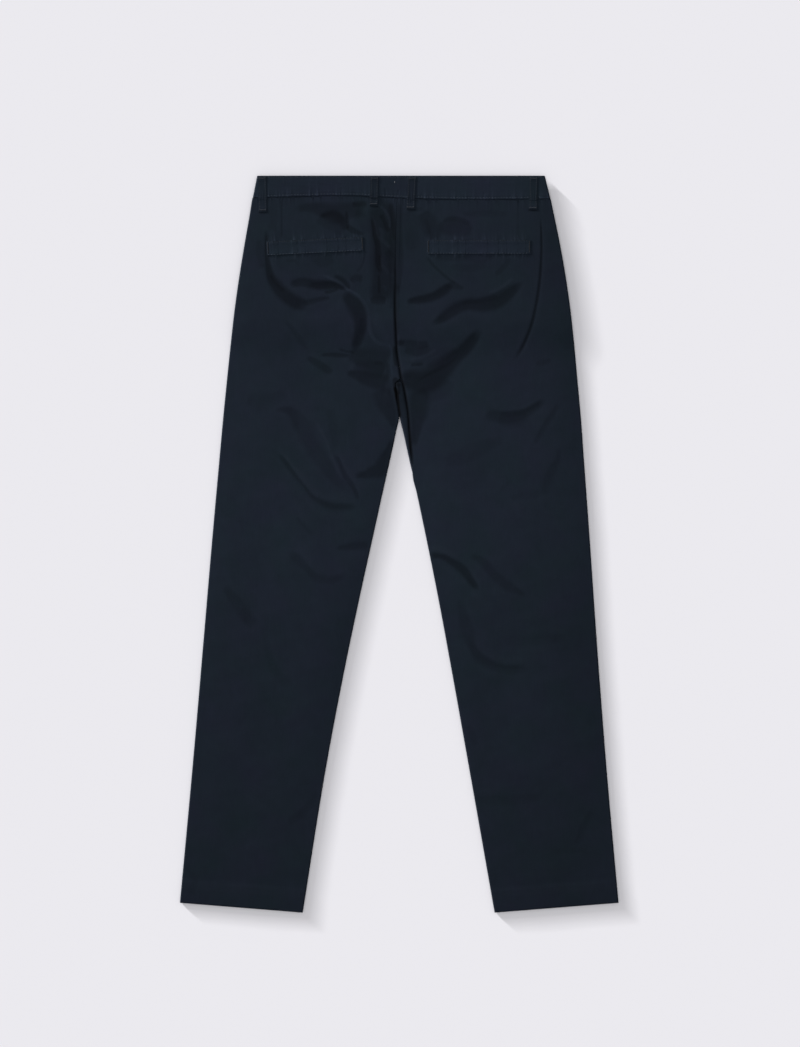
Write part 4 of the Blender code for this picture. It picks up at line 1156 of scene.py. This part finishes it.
FRONT_INSET = 3.0           # distance of the stitches on the front from the ends of what they hold
POCKET_EDGE_INSET = 2.0     # and from the side of a pocket's edge
POCKET_TACK_WIDTH = POCKET_EDGE_WIDTH - 3
POCKET_TACKS, FRONT_LOOP_TACKS = 0.06, 0.05     # distance of the bar tacks from the ends, as a share
FLY_CURVE_STEPS = 29
FLY_TACK = (-14.0, FLY_TOP + FLY_LENGTH - 12)   # x and distance below the waist
FLY_TACK_HEADING, FLY_TACK_WIDTH = (1, 0.6), 9
SLOT_X = BUTTON_X - 4.0     # middle of the buttonhole's stitches
SLOT_LENGTH, SLOT_EDGE, SLOT_PROUD = 19.0, 1.1, -0.12
LABEL_ENDS = ((-7.3, 9.0), (-6.3, 9.3))         # of the pale stitch, x and distance below the waist
LABEL_PROUD, LABEL_RADIUS = 0.15, 0.32


def thread_mesh(name, rows, radius, up, material):
    """One mesh of rows of stitches, each a short bead of thread between two points (x, below, height)."""
    starts, ends = (np.concatenate([row[at] for row in rows]) for at in (0, 1))
    along = ends - starts
    flat = np.hypot(along[:, 0], along[:, 1])
    beside = np.stack((-along[:, 1] / flat, along[:, 0] / flat, 0 * flat), axis=-1)
    centres = starts[:, None] + along[:, None] * RING_PLACES[:, None]
    centres[..., 2] -= up * RING_SINK
    angles = np.linspace(0, 2 * math.pi, RING_SIDES, endpoint=False)
    radii = (radius * RING_RADII)[:, None, None]
    ring = beside[:, None, None] * np.cos(angles)[:, None] * radii
    ring = ring + np.array((0, 0, 1.0)) * np.sin(angles)[:, None] * radii
    points = centres[:, :, None] + ring
    count, rings = points.shape[:2]
    index = np.arange(count * rings * RING_SIDES).reshape(count, rings, RING_SIDES)
    around = np.roll(index, -1, axis=2)
    sides = np.stack((index[:, :-1], around[:, :-1], around[:, 1:], index[:, 1:]), axis=-1).reshape(-1, 4)
    faces = sides.tolist() + index[:, 0, ::-1].tolist() + index[:, -1].tolist()
    points = points.reshape(-1, 3)
    mesh = bpy.data.meshes.new(name)
    mesh.from_pydata(points_at(*points.T).tolist(), [], faces)
    form = bmesh.new()
    form.from_mesh(mesh)
    bmesh.ops.recalc_face_normals(form, faces=form.faces)
    form.to_mesh(mesh)
    form.free()
    finished(name, mesh, material)


def stitch_row(path, height, stitch, proud=PROUD):
    """Starts and ends of the stitches along a path of (x, below) points."""
    path = np.asarray(path, dtype=float)
    lengths = lengths_along(path)
    places = np.arange(0, lengths[-1] - stitch.length, stitch.length + stitch.gap)
    found = []
    for at in (places, places + stitch.length):
        x, below = (np.interp(at, lengths, path[:, column]) for column in (0, 1))
        found.append(np.stack((x, below, height(x, below) + proud), axis=-1))
    return found


def bar_tack(middle, heading, width, height, proud=TACK_PROUD):
    """Starts and ends of a bar tack: short stitches side by side across a line of some width."""
    heading = np.array(heading) / np.hypot(*heading)
    across = np.array((-heading[1], heading[0]))
    offsets = np.arange(-width / 2, width / 2, SATIN.gap)[:, None]
    found = []
    for half in (-0.5, 0.5):
        spot = np.array(middle) + offsets * heading + across * half * SATIN.length
        found.append(np.column_stack((spot, height(*spot.T) + proud)))
    return found


def strip_line(strip, across, inset):
    """Ends of a line along a strip, at a distance from its middle, short of the strip's ends."""
    start, along, beside, length = strip_axes(strip)
    return [start + place * along + across * beside for place in (inset, length - inset)]


def end_tacks(strip, share, heading, width, height):
    """The bar tacks near both ends of a strip under the front, a share of its length from them."""
    middles = strip_line(strip, 0, share * strip_axes(strip)[3])
    return [bar_tack(middle, heading, width, height, UNDER_TACK_PROUD) for middle in middles]


def level_at(height):
    """A face that is flat, at one height."""
    return lambda x, below: height + 0 * x


def band_stitches():
    """Topstitching along both edges of the waistband, on the back and the front."""
    x = np.linspace(*BAND_STITCH_ENDS, BAND_PATH_POINTS)
    upper, lower = (np.column_stack((x, below)) for below in (
        np.full_like(x, BAND_STITCH), band_seam(x) - BAND_STITCH))
    back = stitch_row(upper, band_height, TOPSTITCH, BAND_PROUD)
    thread_mesh("stitch_band_back", [back], TOPSTITCH.radius, 1, thread)
    # the seam's row carries painted light
    seam = stitch_row(lower, band_height, LOOSE_STITCH, BAND_PROUD)
    thread_mesh("stitch_band_seam", [seam], TOPSTITCH.radius, 1, light_thread)
    front = [stitch_row(path, level_at(LIFT), TOPSTITCH, -PROUD) for path in (upper, lower)]
    thread_mesh("stitch_band_front", front, TOPSTITCH.radius, -1, thread)


def loop_rows(strip, height):
    """The rows of topstitching along both sides of a belt loop."""
    lines = (strip_line(strip, side * (LOOP_WIDTH / 2 - LOOP_STITCH), 1) for side in (LEFT, RIGHT))
    return [stitch_row(path, height, TOPSTITCH) for path in lines]


def back_loop_stitches(strip, grid):
    """Two rows of topstitching along a belt loop and the bar tacks at its ends."""
    x_grid, below_grid, top = grid
    places = np.column_stack((x_grid.ravel(), below_grid.ravel()))
    heights = top.ravel()

    def height(x, below):
        spots = np.column_stack((np.ravel(x), np.ravel(below)))
        nearest = ((places[None] - spots[:, None]) ** 2).sum(axis=-1).argmin(axis=1)
        return heights[nearest]

    thread_mesh(f"stitch_{strip.name}", loop_rows(strip, height), TOPSTITCH.radius * LOOP_THREAD, 1, thread)
    upper, lower = LOOP_TACKS
    tacks = [bar_tack(middle, (1, 0), LOOP_TACK_WIDTH, height)
             for middle in ((strip.x1, strip.below1 - lower), (strip.x0, strip.below0 + upper))]
    thread_mesh(f"tack_{strip.name}", tacks, SATIN.radius, 1, thread)


def welt_stitches(strip):
    """A stitched frame round a welt, and the bar tacks that close its ends."""
    def height(x, below):
        top = welt_relief(*strip_offsets(strip, x, below))
        return resting_height(x, below) + SEAM_GAP / 2 + WELT_THICK + top

    edge = WELT_HEIGHT / 2
    upper = stitch_row(strip_line(strip, WELT_INSET - edge, WELT_INSET), height, TOPSTITCH)
    lower = stitch_row(strip_line(strip, edge - UNDERSTITCH_INSET, WELT_INSET), height, LOOSE_STITCH)
    across = strip_axes(strip)[2]
    middles = strip_line(strip, 0, WELT_TACK_INSET)
    tacks = [bar_tack(middle, across, WELT_TACK_WIDTH, height) for middle in middles]
    # the upper row and the tacks by the pocket's opening carry painted shade, the understitching painted
    # light
    thread_mesh(f"stitch_{strip.name}", [upper], TOPSTITCH.radius, 1, dark_thread)
    thread_mesh(f"understitch_{strip.name}", [lower], TOPSTITCH.radius, 1, light_thread)
    thread_mesh(f"tack_{strip.name}", tacks, SATIN.radius, 1, dark_thread)


def underside_stitches():
    """Sewing on the front: fly, slanted pockets and front loops, all facing the floor."""
    fly_face, edge_face, loop_face = (
        level_at(UNDER_TOP - thick) for thick in (FLY_THICK, POCKET_EDGE_THICK, LOOP_THICK))
    turn = quarter(FLY_CURVE_STEPS)
    x = -SEAM_GAP - (FLY_WIDTH - FRONT_INSET) * np.cos(turn)
    below = FLY_TOP + FLY_LENGTH - FLY_BEND + (FLY_BEND - FRONT_INSET) * np.sin(turn)
    curve = np.vstack(((x[0], FLY_TOP + 2), np.column_stack((x, below))))
    rows = [stitch_row(curve, fly_face, TOPSTITCH, -PROUD)]
    tacks = [bar_tack(FLY_TACK, FLY_TACK_HEADING, FLY_TACK_WIDTH, fly_face, UNDER_TACK_PROUD)]
    for strip in POCKET_EDGES:
        edge = math.copysign(POCKET_EDGE_WIDTH / 2 - POCKET_EDGE_INSET, strip.x0)
        rows.append(stitch_row(strip_line(strip, edge, FRONT_INSET), edge_face, TOPSTITCH, -PROUD))
        tacks += end_tacks(strip, POCKET_TACKS, strip_axes(strip)[2], POCKET_TACK_WIDTH, edge_face)
    for strip in FRONT_LOOPS:
        rows += loop_rows(strip, loop_face)
        tacks += end_tacks(strip, FRONT_LOOP_TACKS, (1, 0), LOOP_TACK_WIDTH, loop_face)
    thread_mesh("stitch_front", rows, TOPSTITCH.radius, -1, thread)
    thread_mesh("tack_front", tacks, SATIN.radius, -1, thread)


def buttonhole_stitches():
    """Satin stitches on both sides of the buttonhole in the left front band."""
    rows = [bar_tack((SLOT_X, BUTTON_BELOW + across), (1, 0), SLOT_LENGTH, level_at(LIFT), SLOT_PROUD)
            for across in (-SLOT_EDGE, SLOT_EDGE)]
    thread_mesh("buttonhole", rows, SATIN.radius, -1, thread)


def label_stitch():
    """The single pale stitch that shows on the back of the waistband."""
    ends = [np.array([(x, below, band_height(x, below) + LABEL_PROUD)]) for x, below in LABEL_ENDS]
    thread_mesh("tack_stitch", [ends], LABEL_RADIUS, 1, pale_thread)


# ---------------------------------------------------------------- button
BUTTON_PROFILE = (          # radius and height from the floor
    (0.0, BUTTON_THICK), (6.6, BUTTON_THICK), (7.4, 2.0), (7.9, 1.2), (8.0, 0.8), (7.9, 0.35),
    (7.6, 0.08), (7.2, 0.0), (6.8, 0.05), (6.3, 0.3), (5.6, 0.7), (4.8, 0.88), (3.0, 0.95), (0.0, 0.95),
)
BUTTON_SIDES, HOLE_SIDES = 64, 24
WELD = 0.00001              # metres
DRILL_LENGTH = 6.0
HOLE_RADIUS = 0.9
HOLE_DISTANCE = 2.0         # of the holes' middles from the button's
SEWN_SHIFTS = (-0.35, 0.0, 0.35)                # three threads side by side through each pair of holes
SEWN_HEIGHT, SEWN_RADIUS = 0.75, 0.22


def placed_form(form, name):
    """Turn a form into an object of its own."""
    mesh = bpy.data.meshes.new(name)
    form.to_mesh(mesh)
    form.free()
    return placed(name, mesh)


def button():
    """Four-hole waist button lying face down, turned from its profile, with its sewing thread."""
    form = bmesh.new()
    ring = [form.verts.new((radius * MM, 0, height * MM)) for radius, height in BUTTON_PROFILE]
    edges = [form.edges.new(pair) for pair in zip(ring, ring[1:])]
    bmesh.ops.spin(form, geom=ring + edges, cent=(0, 0, 0), axis=(0, 0, 1), angle=2 * math.pi,
                   steps=BUTTON_SIDES, use_merge=True)
    bmesh.ops.remove_doubles(form, verts=form.verts, dist=WELD)
    bmesh.ops.recalc_face_normals(form, faces=form.faces)
    blank = placed_form(form, "button_disc")
    holes = bmesh.new()
    radius = HOLE_RADIUS * MM
    for corner in range(4):
        angle = math.pi / 4 + corner * math.pi / 2
        made = bmesh.ops.create_cone(
            holes, cap_ends=True, segments=HOLE_SIDES, radius1=radius, radius2=radius,
            depth=DRILL_LENGTH * MM)
        spot = [part * HOLE_DISTANCE * MM for part in (math.cos(angle), math.sin(angle), 0.5)]
        bmesh.ops.translate(holes, verts=made["verts"], vec=spot)
    drill = placed_form(holes, "drill")
    cut = blank.modifiers.new("holes", "BOOLEAN")
    cut.operation = "DIFFERENCE"
    cut.object = drill
    bpy.context.view_layer.update()
    mesh = bpy.data.meshes.new_from_object(blank.evaluated_get(bpy.context.evaluated_depsgraph_get()))
    for spare in (blank, drill):
        bpy.data.objects.remove(spare)
    mesh.transform(Matrix.Translation(points_at(BUTTON_X, BUTTON_BELOW, 0.0)))
    mesh.materials.clear()
    finished("waist_button", mesh, horn, "button")

    offset = HOLE_DISTANCE * math.cos(math.pi / 4)
    xs = [BUTTON_X + side * offset + shift for side in (-1, 1) for shift in SEWN_SHIFTS]
    ends = [np.array([(x, BUTTON_BELOW + way * offset, SEWN_HEIGHT) for x in xs]) for way in (-1, 1)]
    thread_mesh("button_thread", [ends], SEWN_RADIUS, -1, thread)


# ---------------------------------------------------------------- materials
NAVY_BLUE = (0.0102, 0.0135, 0.0238, 1.0)
NAVY_GREEN = (0.0085, 0.0145, 0.0210, 1.0)
NAVY_WORN_AND_HIGHLIT = (0.0180, 0.0230, 0.0350, 1.0)
# light_thread and dark_thread are the thread with painted light and painted shade.
THREAD_COLOURS = {
    "thread": (0.0175, 0.0225, 0.0320, 1.0),
    "light_thread": (0.0340, 0.0430, 0.0580, 1.0),
    "dark_thread": (0.0060, 0.0080, 0.0120, 1.0),
    "pale_thread": (0.5500, 0.5600, 0.5800, 1.0),
}
HORN = (0.0120, 0.0125, 0.0150, 1.0)
HORN_PALE = (0.0300, 0.0260, 0.0260, 1.0)
SHEEN_TINT = (0.62, 0.72, 0.90, 1.0)
WAVE_PERIOD = math.pi / 10      # Blender's wave texture repeats after this length at a scale of 1
TWILL_PITCH = 0.85
TWILL_ANGLE = 62.0              # the twill's ribs rise this steeply to the right of the weft
SLUB = (1.7, 0.05, 1.0)         # yarn marks: narrow across the warp and long along it
NAP_SCALE = 1.4                 # fine breaks in the worn and highlit places
FIELD_SCALE = 1 / 70            # drifts of colour over the garment
MOTTLE_SCALE = 1 / 14           # small patches of it
# Shares between which a pattern goes: of the second colour, of wear and painted highlight, and of the
# cloth's brightness.
FIELD_SHARES, NAP_SHARES, MOTTLE_SHADES = (-0.6, 1.6), (0.25, 0.85), (0.90, 1.10)
RIB_SHADES, SLUB_SHADES = (0.84, 1.12), (0.80, 1.20)
RIB_RELIEF, SLUB_RELIEF = 0.6, 0.5
TWILL_ROUGHNESS = (0.78, 0.95)
PLY_PITCH, PLY_ANGLE = 0.4, 35.0    # of the strands twisted into a thread
LINT_SCALE, LINT_SHARES = 0.9, (0.0, 0.5)
LINT_SHADE = 0.6                # of the thread's own colour
THREAD_ROUGHNESS = (0.5, 0.7)
HORN_DRIFT_TURN, HORN_DRIFT = 20.0, (0.25, 0.8, 1.0)
HORN_GRAIN_TURN, HORN_GRAIN = -30.0, (3.0, 0.3, 1.0)
HORN_SHARES, HORN_ROUGHNESS = (-0.4, 1.2), (0.28, 0.42)


def put_in(tree, made, inputs):
    """Give a node's inputs values, or link them to sockets."""
    for place, value in inputs.items():
        if isinstance(value, bpy.types.NodeSocket):
            tree.links.new(value, made.inputs[place])
        else:
            made.inputs[place].default_value = value


def node(tree, kind, inputs, **settings):
    """Add a node with its settings and inputs."""
    made = tree.nodes.new(kind)
    for setting, value in settings.items():
        setattr(made, setting, value)
    put_in(tree, made, inputs)
    return made


def maths(tree, operation, first, second):
    return node(tree, "ShaderNodeMath", {0: first, 1: second}, operation=operation).outputs[0]


def mix_colour(tree, share, first, second, blend="MIX"):
    """Colour mixed from two colours or sockets by a share."""
    made = node(tree, "ShaderNodeMix", {0: share, 6: first, 7: second}, data_type="RGBA", blend_type=blend)
    return made.outputs[2]


def bumps(tree, height, strength, distance):
    """Relief of the surface, of so many mm."""
    return node(tree, "ShaderNodeBump", {
        "Height": height, "Strength": strength, "Distance": distance * MM}).outputs[0]


def new_material(name):
    material = bpy.data.materials.new(name)
    material.use_nodes = True
    tree = material.node_tree
    return material, tree, tree.nodes["Principled BSDF"]


def millimetres(tree, turn=0.0, scale=(1.0, 1.0, 1.0)):
    """Position on the garment in mm, turned about the vertical and scaled."""
    place = node(tree, "ShaderNodeTexCoord", {}).outputs["Object"]
    in_mm = node(tree, "ShaderNodeMapping", {
        "Vector": place, "Rotation": (0, 0, math.radians(turn)), "Scale": (1 / MM,) * 3})
    return node(tree, "ShaderNodeMapping", {"Vector": in_mm.outputs[0], "Scale": scale}).outputs[0]


def noise(tree, vector, scale, detail=3.0, roughness=0.55):
    made = node(tree, "ShaderNodeTexNoise", {
        "Vector": vector, "Scale": scale, "Detail": detail, "Roughness": roughness})
    return made.outputs["Fac"]


def ranged(tree, value, low, high):
    """Value spread from its range of 0 to 1 to another range."""
    made = node(tree, "ShaderNodeMapRange", {"Value": value, "To Min": low, "To Max": high})
    return made.outputs["Result"]


def twill_material(name, grain, brightness):
    """Matt navy cotton twill, its warp turned by grain degrees from the garment's length."""
    material, tree, shader = new_material(name)
    place = millimetres(tree, grain)
    ribs = node(tree, "ShaderNodeTexWave", {
        "Vector": millimetres(tree, grain + TWILL_ANGLE - 90), "Scale": WAVE_PERIOD / TWILL_PITCH,
        "Distortion": 0.7, "Detail": 1.0, "Detail Scale": 2.0,
    }, wave_type="BANDS", bands_direction="X", wave_profile="SIN").outputs["Fac"]
    slub = noise(tree, millimetres(tree, grain, SLUB), 1.0)
    nap = noise(tree, place, NAP_SCALE, detail=2.0)
    field = noise(tree, millimetres(tree), FIELD_SCALE, detail=2.0)
    worn_and_highlit, tone = (node(tree, "ShaderNodeAttribute", {}, attribute_name=kept).outputs["Fac"]
                  for kept in ("worn_and_highlit", "tone"))

    colour = mix_colour(tree, ranged(tree, field, *FIELD_SHARES), NAVY_BLUE, NAVY_GREEN)
    # wear, and painted highlight, on what stands proud of the cloth round it
    wear_and_highlight = maths(tree, "MULTIPLY", worn_and_highlit, ranged(tree, nap, *NAP_SHARES))
    colour = mix_colour(tree, wear_and_highlight, colour, NAVY_WORN_AND_HIGHLIT)
    mottle = ranged(tree, noise(tree, millimetres(tree), MOTTLE_SCALE, detail=2.0), *MOTTLE_SHADES)
    # painted shade in the furrows between the ribs; the thinner yarns are darker
    yarns = maths(tree, "MULTIPLY", ranged(tree, ribs, *RIB_SHADES), ranged(tree, slub, *SLUB_SHADES))
    shade = maths(tree, "MULTIPLY", yarns, maths(tree, "MULTIPLY", mottle, tone))
    # brightness paints light on the pieces that stand higher
    shade = maths(tree, "MULTIPLY", shade, brightness)
    grey = node(tree, "ShaderNodeCombineColor", {0: shade, 1: shade, 2: shade}).outputs[0]

    relief = maths(
        tree, "ADD", maths(tree, "MULTIPLY", ribs, RIB_RELIEF), maths(tree, "MULTIPLY", slub, SLUB_RELIEF))
    put_in(tree, shader, {
        "Base Color": mix_colour(tree, 1.0, colour, grey, "MULTIPLY"),
        "Normal": bumps(tree, relief, 0.55, 0.12), "Roughness": ranged(tree, slub, *TWILL_ROUGHNESS),
        "Specular IOR Level": 0.05, "Sheen Weight": 0.03, "Sheen Roughness": 0.45,
        "Sheen Tint": SHEEN_TINT})
    return material


def thread_material(name, colour):
    """Twisted sewing thread."""
    material, tree, shader = new_material(name)
    plies = node(tree, "ShaderNodeTexWave", {
        "Vector": millimetres(tree, PLY_ANGLE), "Scale": WAVE_PERIOD / PLY_PITCH, "Distortion": 0.5,
    }, wave_type="BANDS", bands_direction="DIAGONAL").outputs["Fac"]
    lint = noise(tree, millimetres(tree), LINT_SCALE)
    darker = (*(LINT_SHADE * part for part in colour[:3]), 1)
    put_in(tree, shader, {
        "Base Color": mix_colour(tree, ranged(tree, lint, *LINT_SHARES), colour, darker),
        "Normal": bumps(tree, plies, 0.5, 0.08), "Roughness": ranged(tree, lint, *THREAD_ROUGHNESS),
        "Specular IOR Level": 0.25})
    return material


def horn_material(name):
    """Dark plastic that looks like horn, half matt, with paler drifts in it."""
    material, tree, shader = new_material(name)
    drift = noise(tree, millimetres(tree, HORN_DRIFT_TURN, HORN_DRIFT), 1.0, detail=4.0)
    put_in(tree, shader, {
        "Base Color": mix_colour(tree, ranged(tree, drift, *HORN_SHARES), HORN, HORN_PALE),
        "Roughness": ranged(tree, drift, *HORN_ROUGHNESS),
        "Normal": bumps(
            tree, noise(tree, millimetres(tree, HORN_GRAIN_TURN, HORN_GRAIN), 1.0), 0.15, 0.05)})
    return material


# the band and the welts are the same twill with painted light, 1.15 times as bright
twill_lengthwise = twill_material("twill_lengthwise", 0.0, 1.0)
twill_crosswise = twill_material("twill_crosswise", 90.0, 1.15)
thread, light_thread, dark_thread, pale_thread = (
    thread_material(name, colour) for name, colour in THREAD_COLOURS.items())
horn = horn_material("dark_horn")


# ---------------------------------------------------------------- garment
# What each sheet was cut to as far as it shows, in metres: width, length and area if not a rectangle.
Cut = namedtuple("Cut", "width length area", defaults=(None,))


def sew_garment():
    """Make every piece of the garment, from the floor up."""
    fronts = {side: front_panel(f"front_{where}", side) for side, where in SIDES}
    backs = {side: back_panel(f"back_{where}", side) for side, where in SIDES}
    for band in waistband():
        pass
    for strip in BACK_LOOPS:
        piece, grid = back_loop(strip)
        back_loop_stitches(strip, grid)
    for strip in WELTS:
        welt(strip)
        welt_stitches(strip)
    for strip in FRONT_LOOPS:
        piece = strip_under(strip, LOOP_WIDTH, LOOP_THICK, loop_relief)
    for strip in POCKET_EDGES:
        piece = strip_under(strip, POCKET_EDGE_WIDTH, POCKET_EDGE_THICK)
    fly()
    button()
    band_stitches()
    underside_stitches()
    buttonhole_stitches()
    label_stitch()


# ---------------------------------------------------------------- stage, light and camera
FLOOR_SIZE = 12.0           # metres
FLOOR_GAP = 0.2
FLOOR_COLOUR = (0.83, 0.82, 0.86, 1.0)
FILL_STRENGTH = 0.42
LIGHT_HEADING = np.array((0.72, 0.69))      # x and below: where the key lights go across the floor
LIGHTS = table(
    "name share elevation softness",
    ("top", 0.24, 90.0, 60.0),
    ("high_key", 0.085, 15.6, 6.4),
    ("key", 0.085, 10.6, 3.8),
    ("low_key", 0.085, 8.0, 2.2),
    ("lowest_key", 0.085, 6.2, 1.6),
)
SENSOR = 36.0
CAMERA_HEIGHT = 4.0         # metres
CLIP_END = 20.0
VIEW_HEIGHT = 1493.7
VIEW_X, VIEW_Y = 0.9, 29.7


def stage():
    """Plain pale floor under the garment."""
    bpy.ops.mesh.primitive_plane_add(size=FLOOR_SIZE, location=(0, 0, -FLOOR_GAP * MM))
    floor = bpy.context.object
    floor.name = "floor"
    material, tree, shader = new_material("floor_paint")
    put_in(tree, shader, {"Base Color": FLOOR_COLOUR, "Roughness": 0.9, "Specular IOR Level": 0.0})
    floor.data.materials.append(material)


def studio():
    """Soft light from above, and from the waist's left in a fan that reaches low over the floor."""
    world = bpy.data.worlds.new("studio")
    world.use_nodes = True
    background = world.node_tree.nodes["Background"]
    put_in(world.node_tree, background, {"Color": (1.0, 1.0, 1.0, 1.0), "Strength": FILL_STRENGTH})
    bpy.context.scene.world = world
    for light in LIGHTS:
        data = bpy.data.lights.new(light.name, "SUN")
        rise = math.radians(light.elevation)
        data.energy = light.share * math.pi / math.sin(rise)
        data.angle = math.radians(light.softness)
        lamp = placed(light.name, data)
        x, below = LIGHT_HEADING * math.cos(rise)
        lamp.rotation_mode = "QUATERNION"
        lamp.rotation_quaternion = Vector((x, -below, -math.sin(rise))).to_track_quat("-Z", "Y")
    bpy.context.scene.view_settings.view_transform = "Standard"


def camera():
    """Camera straight above, with the photo's framing."""
    data = bpy.data.cameras.new("camera")
    data.sensor_width = SENSOR
    data.lens = SENSOR * CAMERA_HEIGHT / (VIEW_HEIGHT * MM)
    data.clip_end = CLIP_END
    bpy.context.scene.camera = placed("camera", data)
    bpy.context.scene.camera.location = (VIEW_X * MM, VIEW_Y * MM, CAMERA_HEIGHT)


camera()
studio()
stage()
sew_garment()
